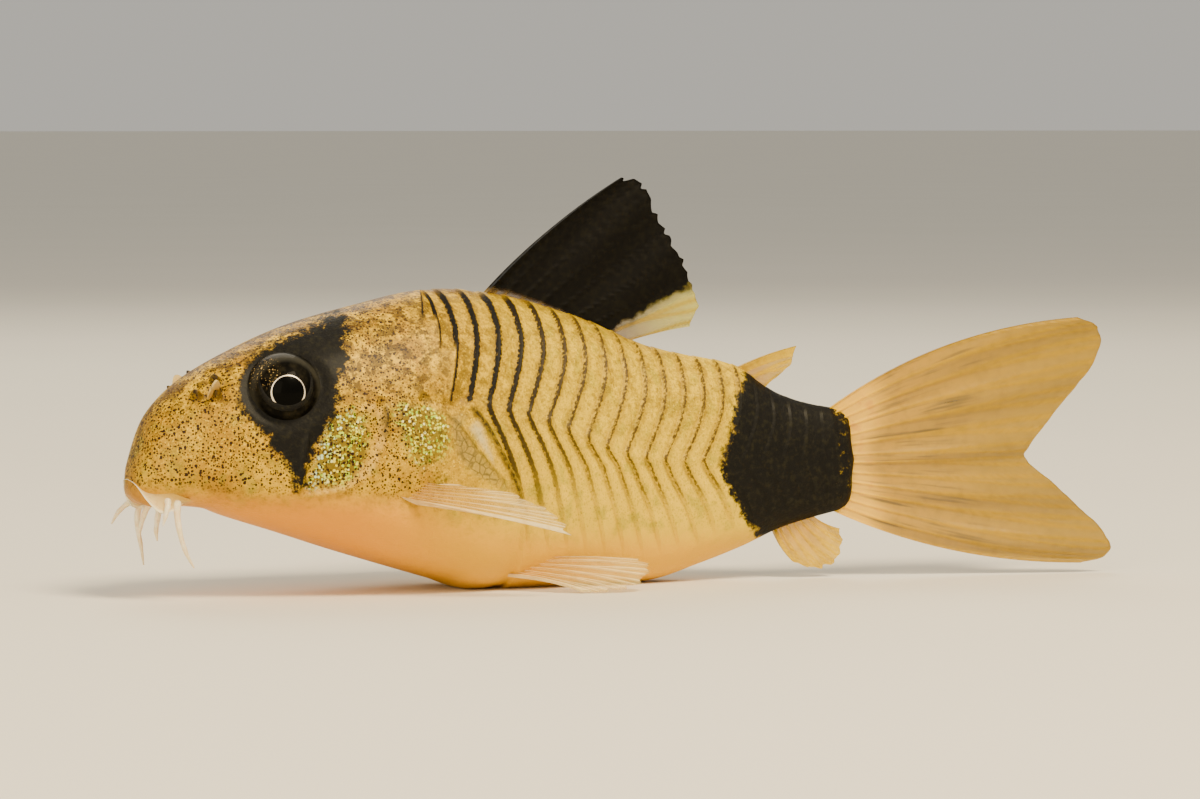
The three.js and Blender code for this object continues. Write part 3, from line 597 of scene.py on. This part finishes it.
def skinMaterial():
    # Moist skin over bone: satin, softly translucent gold sprinkled with dark pigment cells
    material, add = newMaterial("moistArmouredSkin")
    tone = add("noise", 1.6, 4)
    fine = add("noise", 0.28, 4)
    crumb = add("noise", 0.11, 3, 0.6)
    colour = add("mix", ["step", tone, 0.35, 0.68], "#B08200", "#D8AC00")
    colour = tint(colour, "#835F00", ["step", fine, 0.42, 0.7, 0, 0.6])
    # the plates turn paler towards the tail, and have green clouds
    colour = tint(colour, "#EECB00", ["step", "station", 12, 22], 0.75)
    green = add("step", ["noise", 0.9, 4], 0.5, 0.7)
    colour = tint(colour, "#84861C", green, 0.45)
    # mottled brown nape, and loose brown cells on every plate
    nape = add("multiply", ["step", "height", 8.2, 10], ["step", "station", 21, 13])
    glow = add("step", ["noise", 0.9, 4], 0.48, 0.58)
    colour = tint(colour, "#F2C200", glow, nape, 0.8)
    blot = add("step", ["noise", 0.6, 5, 0.65], 0.48, 0.56)
    colour = tint(colour, "#402800", blot, nape, 0.85)
    dusk = add("step", ["noise", 0.24, 4, 0.7], 0.46, 0.6)
    thinning = add("step", "station", 22, 14, 0.65, 1)
    colour = tint(colour, "#6E540A", dusk, ["step", "height", 4.5, 9], thinning, 0.55)
    cloud = add("step", ["noise", 0.55, 5, 0.65], 0.45, 0.65)
    colour = tint(colour, "#7A5E08", cloud, ["step", "height", 5, 10], 0.5)
    # brown saddle below the dorsal fin
    saddle = add("step", ["noise", 0.6, 5, 0.7], 0.35, 0.6, 0.1, 0.8)
    ridge = add("multiply", ["step", "share", 0.72, 1], ["step", "station", 30, 25])
    colour = tint(colour, "#5C3C04", ridge, saddle)
    # painted glints: fine bright flecks where wet skin would catch the light, fewer on the nape
    fleck = add("multiply", ["step", crumb, 0.56, 0.66], ["step", "bellyDepth", 0.6, 2.4])
    colour = tint(colour, "#FAD73C", fleck, ["subtract", 0.5, ["multiply", nape, 0.25]])
    # scute edges: a ragged dark seam, broad at the shoulder, inside a painted brown shade that darkens each
    # plate towards its seams
    ragged = add("multiply", ["subtract", ["noise", 0.15], 0.5], 0.3)
    clean = add("absolute", ["subtract", ["fract", ["add", "scute", 0.52]], 0.5])
    # painted shade: the plate turns browner towards each seam
    colour = tint(colour, "#8A6410", ["step", clean, 0.36, 0.1], "inked", 0.35)
    width = add("step", "scute", 1.5, 8, 0.12, 0.045)
    line = add("step", ["subtract", ["add", clean, ragged], width], 0.03, -0.05)
    line = add("multiply", ["multiply", line, "inked"], ["step", "share", -0.3, 0.12, 0.8, 1])
    ink = add("mix", ["step", "scute", 2, 8], "#0C0B06", "#54400C")
    colour = tint(colour, ink, line)
    # plain belly: orange under the head, golden under the trunk
    flesh = add("mix", ["step", "station", 9, 17], "#E29600", "#E6AE00")
    plain = add("step", ["add", "bellyDepth", ["multiply", fine, 0.6]], 1.1, -0.5)
    colour = tint(colour, flesh, plain)
    colour = tint(colour, "#F0C45A", "gillFold", 0.7)
    # pale flash of bone on the shoulder inside a grey net
    net = add("cells", 0.4, "DISTANCE_TO_EDGE").outputs["Distance"]
    netInside = add("step", "netAway", 0.15, -0.35)
    colour = tint(colour, "#8C7C45", netInside, 0.6)
    colour = tint(colour, "#3E3820", netInside, ["step", net, 0.12, 0.02, 0, 0.6])
    flash = add("step", ["add", "flashAway", ["multiply", fine, 0.4]], 0.3, -0.2)
    colour = tint(colour, "#CDBE88", flash, 0.8)
    # guanine glitter: green and gold flakes that mirror the light, over olive; the rare pale flakes and the
    # icy ones by the mask are painted glints
    flake = add("cells", 0.14)
    chance = add("channels", flake.outputs["Color"]).outputs
    flakeColour = add("mix", chance[1], "#9CC424", "#F2E24A")
    flakeColour = tint(flakeColour, "#FAF6A0", ["step", chance[2], 0.84, 0.88])
    icy = add("step", chance[2], 0.4, 0.5)
    flakeColour = tint(flakeColour, "#CFEBC6", ["step", "maskAway", 1.1, 0.2], icy)
    patch = add("minimum", "cheekAway", "shoulderAway")
    patch = add("add", patch, ["multiply", ["subtract", tone, 0.5], 1.6])
    patch = add("step", ["add", patch, ["multiply", fine, 0.5]], 0.35, -0.25)
    colour = tint(colour, "#57500A", patch, 0.7)
    glitter = add("multiply", ["step", flake.outputs["Distance"], 0.62, 0.42], patch)
    glitter = add("multiply", glitter, ["step", chance[0], 0.34, 0.44])
    colour = tint(colour, flakeColour, glitter)
    # pigment cells about a tenth of a millimetre across, and a few larger ones
    crowd = add("multiply", ["step", "bellyDepth", 0.1, 0.9], ["step", "station", 15.5, 12, 0.2, 1])
    for size, base, spread in ((0.125, 0.18, 0.34), (0.2, -0.05, 0.5)):
        cell = add("cells", size)
        pick = add("channels", cell.outputs["Color"]).outputs[0]
        radius = add("add", ["multiply", pick, spread], base)
        spot = add("step", ["subtract", cell.outputs["Distance"], radius], 0.04, -0.1)
        colour = tint(colour, "#281606", spot, crowd)
    # painted shade in the gill slit, and the dark lines of the shoulder plate
    crease = add("maximum", "gillInk", "shoulderInk")
    broken = add("step", ["noise", 0.2], 0.3, 0.6, 0.5, 1)
    colour = tint(colour, "#1E1A0C", crease, broken)
    # black mask, tail band and eye socket with frayed edges
    fray = add("multiply", ["subtract", ["noise", 0.4, 6, 0.75], 0.5], 1.8)
    mask = add("step", ["add", "maskAway", fray], 0.16, -0.2)
    band = add("step", ["add", "bandAway", fray], 0.2, -0.2)
    socket = add("step", ["add", "eyeAway", ["multiply", fray, 0.4]], 2.3, 2.1)
    dark = add("maximum", ["maximum", mask, band], socket)
    black = add("mix", ["step", ["noise", 0.25, 4], 0.45, 0.75], "#050402", "#1B190C")
    colour = tint(colour, black, dark)
    # pale lower lip, with painted shade in the hollow of the mouth and in the nostril pits
    colour = tint(colour, "#EED398", "lip", 0.85)
    colour = tint(colour, "#9A6C2C", "mouth", 0.9)
    colour = tint(colour, "#1C1206", "pit")
    rough = add("add", ["multiply", fine, 0.25], 0.3)
    pores = add("add", ["multiply", crumb, 0.7], ["noise", 0.45])
    add("surface", add("shader", **{
        "Base Color": colour,
        "Metallic": ["multiply", glitter, 0.5],
        "Roughness": ["add", rough, ["multiply", ["maximum", line, dark], 0.2]],
        "IOR": 1.25,
        **soft(0.05, 0.4, 0.32, 0.1),
        "Coat Weight": 0.1,
        "Coat Roughness": 0.25,
        "Coat IOR": 1.3,
        "Normal": ["bump", 0.8, 0.06 * mm, pores],
    }))
    return material


makeSkin(skinMaterial())
print("skin made")


# eyes
gaze = {
    "axis": (-0.235, 0.97, 0.03),  # where the pupil looks, for the right eye
    "pupil": 0.79,  # radius of the pupil
    "ring": (0.055, 0.1),  # width of the pale ring round it, above and below
    "bulge": 0.1,  # extra height of the cornea
    "reach": 125,  # degrees from the axis to the last ring
    "depth": 2.2,  # of the flat back under the skin
}


def eyeMaterial():
    # Clear cornea over a black iris: a wet, glassy dome with one fine pale ring round the pupil
    material, add = newMaterial("wetEyeball")
    iris = add("mix", ["step", ["noise", 0.5, 4], 0.4, 0.7], "#070604", "#1E1B12")
    rim = add("multiply", ["step", "fromAxis", 1.35, 1.6], ["step", "fromAxis", 1.8, 1.65])
    iris = tint(iris, "#45433A", rim, 0.4)
    glint = add("step", ["noise", 0.09, 2], 0.62, 0.7)
    iris = tint(iris, "#C9A96A", glint, "gilt")
    ring = add("absolute", ["subtract", "fromAxis", gaze["pupil"]])
    ring = add("divide", ring, ["step", "low", 0, 1, *gaze["ring"]])
    ring = add("step", ring, 0.5, 0.3)
    colour = add(
        "mix", ["step", "fromAxis", gaze["pupil"] + 0.02, gaze["pupil"] - 0.02], iris, "#050504",
    )
    add("surface", add("shader", **{
        "Base Color": tint(colour, "#EFE3D2", ring),
        "Metallic": ["multiply", ring, 0.7],
        "Roughness": 0.4,
        "IOR": 1.08,
        "Coat Weight": 0.35,
        "Coat Roughness": 0.03,
        "Coat IOR": 1.12,
    }))
    return material


def makeEye(word, side, material):
    # Sphere about the gaze axis: rings of growing angle, with the cornea a little higher in the
    # middle, and cut flat inside the head
    axis = np.array(gaze["axis"]) / np.linalg.norm(gaze["axis"]) * (1, side, 1)
    across = np.cross(axis, (0, 0, 1))
    across /= np.linalg.norm(across)
    upward = np.cross(across, axis)
    angle = np.linspace(0, math.radians(gaze["reach"]), 60)[1:, None]
    spin = np.linspace(0, 2 * math.pi, 96, endpoint=False)[None, :]
    radius = eye["radius"] - 0.02 + gaze["bulge"] * bump(angle, 0.7) - gaze["bulge"] * 0.2
    along = radius * np.cos(angle) + 0 * spin
    off = radius * np.sin(angle)
    centre = eyeCentre(side)
    p = (centre + along[..., None] * axis + (off * np.cos(spin))[..., None] * across
         + (off * np.sin(spin))[..., None] * upward)
    keep = eye["skin"][1] - gaze["depth"]
    p[..., 1] = np.where(np.abs(p[..., 1]) < keep, side * keep, p[..., 1])
    points = np.vstack([p.reshape(-1, 3), centre + radius[0, 0] * axis, p[-1].mean(0)])
    gilt = smooth(p[..., 2] - centre[2], 0, 0.8) * smooth(centre[0] - p[..., 0], 0.5, 1.1)
    low = smooth(0.5 + (centre[2] - p[..., 2]) / (2 * gaze["pupil"]), 0, 1)
    # the last two numbers of each row are those of the front point and of the back point
    values = {
        "fromAxis": np.append((off + 0 * spin).ravel(), [0, 9]),
        "gilt": np.append(gilt.ravel(), [0, 0]),
        "low": np.append(low.ravel(), [0.5, 0.5]),
    }
    faces = tubeFaces(*p.shape[:2], side < 0)
    makePiece(f"eye_ball_{word}", points, faces, values, material, [f"eye_{word}"])


wetEye = eyeMaterial()
makeEye("left", -1, wetEye)
makeEye("right", 1, wetEye)
print("eyes made")


# thin sheets
def sheetPiece(name, p, thick, values, material, nodes):
    # closes a grid into a plate: half the thickness goes to either side, with a strip round the rim
    rows, columns = p.shape[:2]
    size = rows * columns
    points = np.vstack([(p + thick / 2).reshape(-1, 3), (p - thick / 2).reshape(-1, 3)])
    faces = gridFaces(rows, columns, flip=True)
    faces += gridFaces(rows, columns, start=size)
    faces += rimFaces(rows, columns, size)
    twice = {word: np.tile(numbers.ravel(), 2) for word, numbers in values.items()}
    makePiece(name, points, faces, twice, material, nodes)


# fins
plainRays = {  # what a fin has unless its own list says otherwise
    "steps": 70,  # points along a ray
    "perRay": 14,  # points from ray to ray
    "web": 0.12,  # thickness of the membrane
    "fray": 0.03,
    "fork": 0.22,  # half the gap of a forked ray, in rays
    "forking": (0.35, 0.95),  # where along the ray it opens
    "slim": 0.1,  # half width of a ray, in rays
    "ripple": 0.05,
    "spine": True,  # whether the first ray is a stout one
    "spineSize": 0.2,
}
plainFilm = {
    "solid": 0.12,  # share of the length at the root that is opaque
    "rough": 0.35,
}


def finSheet(name, rays, material, nodes, seed, place=None):
    # A membrane spanned by rays. Each point is root + share of the way to the tip + a sideways bow;
    # its thickness is the membrane's, raised to the ray's near each ray, and each ray forks once.
    random = np.random.default_rng(seed)
    rays = {**plainRays, **rays}
    count = len(rays["roots"])
    u = np.linspace(0, 1, rays["steps"])[:, None]
    v = np.linspace(0, count - 1, (count - 1) * rays["perRay"] + 1)[None, :]
    roots = through(rays["roots"], v)
    bows = through(np.array(rays["bows"])[:, None], v)[..., 0]
    off = v - np.round(v)
    fray = np.interp(v, np.linspace(0, count - 1, count * 5), random.random(count * 5))
    t = u * (1 - rays["notch"] * smooth(np.abs(off), 0, 0.5) - rays["fray"] * fray)
    span = through(rays["tips"], v) - roots
    if "sideways" in rays:
        sideways = np.array(rays["sideways"], float)
    else:
        sideways = np.stack([-span[..., 2], 0 * span[..., 0], span[..., 0]], -1)
        sideways = sideways / np.linalg.norm(sideways, axis=-1, keepdims=True)
    p = roots + span * t[..., None] + sideways * (bows * 4 * t * (1 - t))[..., None]
    fork = rays["fork"] * smooth(u, *rays["forking"])
    forked = np.minimum(np.round(v), 1) if rays["spine"] else np.ones_like(v)
    ridge = bump(np.abs(np.abs(off) - fork * forked), rays["slim"] * (1.3 - 0.3 * u))
    leading = (np.round(v) == 0) * rays["spine"]
    ridge = np.maximum(ridge, leading * bump(off, 0.3 * (1 - 0.5 * u)))
    if place is not None:
        p = place(p)
    normals = surfaceNormals(p, False)
    wave = rays["ripple"] * np.sin(2.4 * v + 3 * u + seed) * smooth(t, 0, 0.6)
    p = p + normals * wave[..., None]
    thick = rays["web"] + (rays["ray"] * (1 - 0.6 * u) - rays["web"]) * ridge
    thick = thick + leading * rays["spineSize"] * (1 - 0.75 * u) * bump(off, 0.25)
    values = {"along": u + 0 * v, "across": v + 0 * u, "ray": np.maximum(ridge, leading + 0 * u)}
    sheetPiece(name, p, normals * thick[..., None], values, material, nodes)


def finMaterial(name, spec):
    # Fin membrane, a clear film as thin as paper between pale bony rays with cross joints
    material, add = newMaterial(name)
    spec = {**plainFilm, **spec}
    colour = add("mix", ["step", "along", 0, 1], spec["base"], spec["edge"])
    colour = tint(colour, spec["rays"], "ray", 0.6)
    colour = tint(colour, spec["shade"], ["step", ["noise", 0.5, 4], 0.4, 0.7, 0, 0.35])
    if "cream" in spec:
        # cream root with warm clouds
        bar = add("add", "along", ["multiply", ["noise", 1.2], 0.06])
        nearRoot = add("step", bar, 0.3, 0.17)
        colour = tint(colour, spec["cream"], nearRoot)
        blush = add("step", ["noise", 0.9, 4], 0.52, 0.66, 0, 0.5)
        colour = tint(colour, "#D28A1C", blush, nearRoot)
    opacity = add("add", ["multiply", "ray", spec["rayAlpha"] - spec["alpha"]], spec["alpha"])
    opacity = add("maximum", opacity, ["step", "along", spec["solid"], 0])
    if "dark" in spec:
        # soot over all but the root and the last rays, with a frayed edge
        dark = spec["dark"]
        fray = add("multiply", ["subtract", ["noise", 0.5, 5, 0.65], 0.5], dark["fray"])
        edge = add("subtract", "across", ["multiply", "along", dark["slant"]])
        inside = add("step", ["add", edge, fray], dark["to"] + 0.3, dark["to"] - 0.3)
        above = add("add", "along", ["multiply", fray, 0.04])
        above = add("step", above, dark["from"] - 0.03, dark["from"] + 0.03)
        inside = add("multiply", inside, above)
        black = add("mix", ["step", ["noise", 0.3, 4], 0.4, 0.75], "#040302", "#0F0D06")
        colour = tint(colour, black, inside)
        opacity = add("maximum", opacity, inside)
    if "streaks" in spec:
        # dusky streaks along the membrane between the rays
        stretched = add("vector", ["multiply", "across", 2.6], ["multiply", "along", 3])
        streak = add("noise", Scale=1, Detail=2, Roughness=0.5, Vector=stretched)
        zone = add("multiply", ["step", "along", 0.08, 0.22], ["step", "along", 0.75, 0.45])
        lines = add("multiply", ["step", streak, 0.5, 0.72], ["step", "ray", 0.6, 0.1])
        lines = add("multiply", ["multiply", lines, zone], spec["streaks"])
        colour = tint(colour, "#4C3D1B", lines)
        opacity = add("maximum", opacity, lines)
    joints = add("sine", ["multiply", "along", spec["joints"] * 6.28])
    add("surface", add("shader", **{
        "Base Color": colour,
        "Alpha": opacity,
        "Roughness": spec["rough"],
        "IOR": 1.2,
        **soft(0.1, 0.4, 0.3, 0.15),
        "Normal": ["bump", 0.35, 0.04 * mm, ["multiply", joints, "ray"]],
    }))
    return material


def flat3(pairs):
    # station and height pairs in the fish's middle plane
    return np.array([(x, 0, z) for x, z in pairs], float)


dorsalStations = 18 + 0.9 * np.arange(9)
dorsal = {
    "roots": flat3(zip(dorsalStations, top(dorsalStations) - 0.5)),
    "tips": flat3([
        (25.35, 19.85), (26.3, 19.75), (26.85, 19), (27.3, 18), (27.85, 17), (28.45, 15.9),
        (28.95, 14.8), (29.3, 13.6), (28.85, 12.5),
    ]),
    "bows": [0.35, 0.3, 0.25, 0.2, 0.15, 0.1, 0.1, 0.1, 0.1],
    "web": 0.14, "ray": 0.24, "notch": 0.012, "fray": 0.035, "ripple": 0.12, "spineSize": 0.35,
}
finSheet("dorsal_fin_web", dorsal, finMaterial("sootyFinMembrane", {
    "base": "#5E3E08", "edge": "#BDB638", "rays": "#9A7A20", "shade": "#A58A2F", "alpha": 0.5,
    "rayAlpha": 0.8, "joints": 16, "rough": 0.65,
    "dark": {"from": 0.07, "to": 7.05, "slant": -0.75, "fray": 0.9},
}), ["dorsal_fin"], seed=3, place=bent)

adipose = {
    "roots": flat3([(30.7, 10.2), (31.5, 9.7), (32.4, 9.1)]),
    "tips": flat3([(34.3, 11.5), (33.95, 10.6), (33.25, 9.95)]),
    "bows": [0.12, 0.1, 0.1], "ray": 0.22, "notch": 0.03, "ripple": 0.03, "steps": 40, "perRay": 16,
}
clearFilm = {
    "base": "#BC8808", "edge": "#C9A60E", "rays": "#D2AE1C", "shade": "#A07C08", "alpha": 0.6,
    "rayAlpha": 0.92, "joints": 9,
}
finSheet("adipose_fin_web", adipose, finMaterial("adiposeFlap", clearFilm), ["adipose_fin"],
         seed=5, place=bent)

tailFin = {
    "roots": flat3([(35.7, z) for z in np.linspace(8.25, 3.45, 14)]),
    "tips": flat3([
        (48.4, 12.8), (49.35, 12.4), (49.65, 11.6), (49.1, 10.3), (48.1, 9), (46.9, 7.55), (45.9, 6.3),
        (45.9, 5.65), (47.1, 4.6), (48.3, 3.5), (49.5, 2.4), (50.15, 1.3), (49.75, 0.7), (48.6, 0.48),
    ]),
    "bows": [0.95, 0.75, 0.5, 0.35, 0.2, 0.1, 0, 0, -0.1, -0.2, -0.3, -0.45, -0.6, -0.75],
    "ray": 0.3, "notch": 0.003, "fray": 0.004, "ripple": 0.14, "steps": 90, "perRay": 12,
    "spine": False,
}
finSheet("tail_fin_web", tailFin, finMaterial("goldenTailMembrane", {
    "base": "#BE9000", "edge": "#A28000", "rays": "#B08A08", "shade": "#846800", "alpha": 0.74,
    "rayAlpha": 0.86, "joints": 24, "solid": 0.2, "streaks": 0.8, "cream": "#F0BC10",
}), ["caudal_fin_upper_lobe", "caudal_fin_lower_lobe"], seed=7, place=bent)

analStations = 32.9 + 0.3 * np.arange(7)
anal = {
    "roots": flat3(zip(analStations, bottom(analStations) + 0.5)),
    "tips": flat3([
        (34.1, 0.75), (34.8, 0.45), (35.5, 0.4), (36.1, 0.6), (36.5, 1.1), (36.6, 1.75), (36.4, 2.4),
    ]),
    "bows": [-0.15] * 7, "ray": 0.26, "notch": 0.04, "ripple": 0.06, "steps": 50,
}
finSheet("anal_fin_web", anal, finMaterial("analMembrane", {
    **clearFilm, "base": "#D8A010", "edge": "#E0B820", "alpha": 0.7,
}), ["anal_fin"], seed=9, place=bent)


def pairedRoots(start, spread, count):
    # roots in an even row
    return np.array(start) + np.linspace(0, 1, count)[:, None] * np.array(spread)


pectoral = {
    "roots": pairedRoots((11.9, -4.35, 4.7), (1.2, 0.1, 0.7), 8),
    "tips": np.array([
        (19.55, -7.65, 2.95), (19.45, -7.6, 3.4), (19.05, -7.4, 3.8), (18.55, -7.1, 4.2),
        (17.95, -6.8, 4.5), (17.3, -6.5, 4.8), (16.5, -6.2, 5), (15.7, -5.95, 5.15),
    ]),
    "bows": [0.9] * 8, "sideways": (0, -1, 0.1), "web": 0.09, "ray": 0.17, "notch": 0.05,
    "spineSize": 0.34, "steps": 60, "slim": 0.06,
}
pelvic = {
    "roots": pairedRoots((18.1, -2.7, 0.75), (1.1, -0.4, 0.75), 7),
    "tips": np.array([
        (21, -5.85, 0.07), (22, -6.2, 0.07), (22.95, -6.35, 0.12), (23.85, -6.3, 0.42),
        (24.5, -6, 0.85), (24.7, -5.5, 1.2), (24.3, -5.05, 1.5),
    ]),
    "bows": [0.15] * 7, "sideways": (0, -0.6, 0.8), "web": 0.09, "ray": 0.18, "notch": 0.04,
    "spineSize": 0.08, "steps": 60, "slim": 0.06,
}
glassyFin = finMaterial("glassyPairedFin", {
    "base": "#D89C34", "edge": "#E6CB80", "rays": "#FBEBB8", "shade": "#CDA048", "alpha": 0.24,
    "rayAlpha": 0.85, "joints": 14,
})


def mirrored(rays):
    # the same fin on the right side, mirrored across the middle plane; its faces still point outwards
    other = dict(rays)
    for word in ("roots", "tips"):
        other[word] = np.array(rays[word]) * (1, -1, 1)
    other["sideways"] = tuple(np.array(rays["sideways"]) * (1, -1, 1))
    return other


for word, rays, seed in (("pectoral", pectoral, 11), ("pelvic", pelvic, 13)):
    finSheet(f"{word}_fin_web_left", rays, glassyFin, [f"{word}_fin_left"], seed)
    finSheet(f"{word}_fin_web_right", mirrored(rays), glassyFin, [f"{word}_fin_right"], seed)
print("fins made")


# barbels, each side in its own pose
barbels = {
    "outer_left": [
        (1.85, -1.8, 4.7), (1.78, -2.05, 3.95), (1.83, -2.35, 3.1), (2.05, -2.5, 2.3), (2.4, -2.6, 1.6),
    ],
    "outer_right": [
        (1.7, 1.8, 4.7), (1.35, 2.25, 4.1), (1.4, 2.65, 3.3), (1.65, 2.85, 2.3), (1.8, 2.9, 1.35),
    ],
    "inner_left": [(1.45, -1.65, 4.8), (1.3, -2, 4.45), (1.15, -2.15, 4.05), (1, -2.2, 3.6)],
    "inner_right": [(1.35, 1.6, 4.8), (0.85, 2.1, 4.45), (0.4, 2.4, 4), (0.05, 2.5, 3.4)],
    "chin_left": [(1.35, -0.75, 4.5), (1.2, -0.9, 3.9), (1.1, -0.95, 3.3), (1.15, -0.95, 2.8)],
    "chin_right": [(1.35, 0.75, 4.5), (1.15, 0.9, 3.95), (1, 1, 3.35), (0.95, 1, 2.9)],
}
barbelThick = (0.2, 0.15, 0.125, 0.1, 0.035)


def tubeSurface(path, steps=60, sides=20):
    # circles of shrinking radius carried along a smooth path, a little wavy as soft flesh is
    t = np.linspace(0, len(path) - 1, steps)
    share = t / t[-1]
    centre = through(path, t)
    along = np.gradient(centre, axis=0)
    along /= np.linalg.norm(along, axis=1, keepdims=True)
    across = np.cross(along, (0.3, 0.9, 0.2))
    across /= np.linalg.norm(across, axis=1, keepdims=True)
    third = np.cross(along, across)
    radius = np.interp(share, np.linspace(0, 1, len(barbelThick)), barbelThick)
    radius = (radius * (1 + 0.06 * np.sin(21 * share)))[:, None, None]
    spin = np.linspace(0, 2 * math.pi, sides, endpoint=False)[None, :, None]
    p = centre[:, None] + radius * (np.cos(spin) * across[:, None] + np.sin(spin) * third[:, None])
    return p, centre


def barbelMaterial():
    # Barbel flesh, soft and moist: pale, a little see-through at its thin tip
    material, add = newMaterial("paleBarbelFlesh")
    colour = add("mix", ["step", ["noise", 0.4], 0.35, 0.7], "#E9D2A8", "#F4E7CC")
    fleck = add("step", ["noise", 0.12, 2], 0.6, 0.75)
    add("surface", add("shader", **{
        "Base Color": tint(colour, "#B98F60", fleck, 0.35),
        "Roughness": 0.3,
        "IOR": 1.4,
        **soft(0.4, 0.5, 0.3, 0.2),
        "Normal": ["bump", 0.3, 0.04 * mm, ["noise", 0.15]],
    }))
    return material


def makeBarbels(material):
    for word, path in barbels.items():
        p, centre = tubeSurface(path)
        points = np.vstack([p.reshape(-1, 3), centre[:1], centre[-1:]])
        faces = tubeFaces(*p.shape[:2], False)
        makePiece(f"barbel_skin_{word}", points, faces, {}, material, [f"barbel_{word}"])


# lip hood, a soft skirt that hangs from the snout round the mouth
hood = {
    "root": [
        (2.45, -2.1, 4.75), (1.9, -2, 5), (1.3, -1.75, 5.25), (0.75, -1.3, 5.55), (0.3, -0.7, 5.85),
        (0.14, 0, 6),
    ],
    "rim": [
        (1.95, -1.85, 4.45), (1.4, -1.95, 4.25), (0.95, -1.88, 4.2), (0.5, -1.5, 4.7), (0.16, -0.8, 5.45),
        (0.02, 0, 5.65),
    ],
    "web": 0.12,
    "bead": 0.2,  # thickness of the rolled rim
    "bulge": 0.12,
}
flap = {
    "root": (3.55, 2.1, 9.7),
    "rise": (-0.12, 0.75, 0.7),
    "across": (0.32, -0.12, 0.2),  # half the width at the root
    "web": 0.1,
}


def lipMaterial():
    # Lip: thin wet flesh, milky and a little clear, with a bright rolled rim
    material, add = newMaterial("milkyLipFlesh")
    colour = add("mix", ["step", "along", 0, 0.75], "#C29A3C", "#E8CB8A")
    colour = tint(colour, "#B98A3E", ["step", ["noise", 0.2, 4], 0.5, 0.7, 0, 0.4])
    add("surface", add("shader", **{
        "Base Color": tint(colour, "#FBF0CC", ["step", "along", 0.84, 0.96]),
        "Alpha": ["step", "along", 0.1, 0.6, 1, 0.8],
        "Roughness": 0.3,
        "IOR": 1.25,
        **soft(0.3, 0.4, 0.3, 0.15),
        "Normal": ["bump", 0.3, 0.04 * mm, ["noise", 0.2]],
    }))
    return material


def makeHood(material):
    # from the skin to the free rim, bulging outwards halfway
    u = np.linspace(0, 1, 24)[:, None, None]
    p = bothSides(hood["root"]) * (1 - u) + bothSides(hood["rim"]) * u
    normals = surfaceNormals(p, False)
    p = p + normals * hood["bulge"] * np.sin(u * math.pi)
    thick = hood["web"] + (hood["bead"] - hood["web"]) * bump(1 - u, 0.12)
    values = {"along": u[..., 0] + 0 * p[..., 0]}
    sheetPiece("lip_hood", p, normals * thick, values, material, [])


def makeNostrilFlaps(material):
    # a rounded flap of skin between the two nostrils of each side, narrower towards its tip
    for word, side in (("left", -1), ("right", 1)):
        u = np.linspace(0, 1, 16)[:, None, None]
        v = np.linspace(-1, 1, 17)[None, :, None]
        root, rise, across = [np.array(flap[key]) * (1, side, 1) for key in ("root", "rise", "across")]
        width = np.sqrt(1 - (0.85 * u) ** 3)
        p = root + rise * u + across * v * width + rise * -0.25 * v**2 * u
        values = {"along": 0.5 * u[..., 0] + 0 * p[..., 0]}
        thick = surfaceNormals(p, False) * flap["web"]
        sheetPiece(f"nostril_flap_{word}", p, thick, values, material, [])


softFlesh = lipMaterial()
makeBarbels(barbelMaterial())
makeHood(softFlesh)
makeNostrilFlaps(softFlesh)
print("barbels, lips and nostril flaps made")


# floor and light
def makeFloor():
    size = 12
    mesh = bpy.data.meshes.new("floor")
    corners = [(-size, -size, 0), (size, -size, 0), (size, size, 0), (-size, size, 0)]
    mesh.from_pydata(corners, [], [(0, 1, 2, 3)])
    floor = bpy.data.objects.new("floor", mesh)
    floor.location = (0, 0, -0.02 * mm)
    material, add = newMaterial("paleMattePaint")
    shade = add("mix", ["noise", 60, 2], "#E9E4D8", "#E4DFD2")
    add("surface", add("shader", **{"Base Color": shade, "Roughness": 0.8}))
    mesh.materials.append(material)
    bpy.context.collection.objects.link(floor)


lamps = {
    "key": {"at": (60, -200, 300), "size": 130, "power": 2.3, "colour": "#FFE9BE"},
    "fill": {"at": (-260, -200, 110), "size": 240, "power": 0.75, "colour": "#FFE9C0"},
    "rim": {"at": (60, 260, 240), "size": 200, "power": 0.5, "colour": "#FFF4DC"},
}


def makeLights():
    for word, lamp in lamps.items():
        data = bpy.data.lights.new(word, "AREA")
        data.size = lamp["size"] * mm
        data.energy = lamp["power"]
        data.color = linear(lamp["colour"])[:3]
        light = bpy.data.objects.new(word, data)
        at = np.array(lamp["at"], float) * mm
        aim = np.array((0, 0, 7 * mm)) - at
        flatReach = math.hypot(aim[0], aim[1])
        light.location = at
        light.rotation_euler = (math.atan2(flatReach, -aim[2]), 0, math.atan2(aim[1], aim[0]) - math.pi / 2)
        bpy.context.collection.objects.link(light)
    world = bpy.data.worlds.new("studio")
    world.use_nodes = True
    ground = world.node_tree.nodes["Background"]
    ground.inputs[0].default_value = linear("#F2EDE2")
    ground.inputs[1].default_value = 0.6
    bpy.context.scene.world = world


makeFloor()
makeLights()
print("floor and lights made")
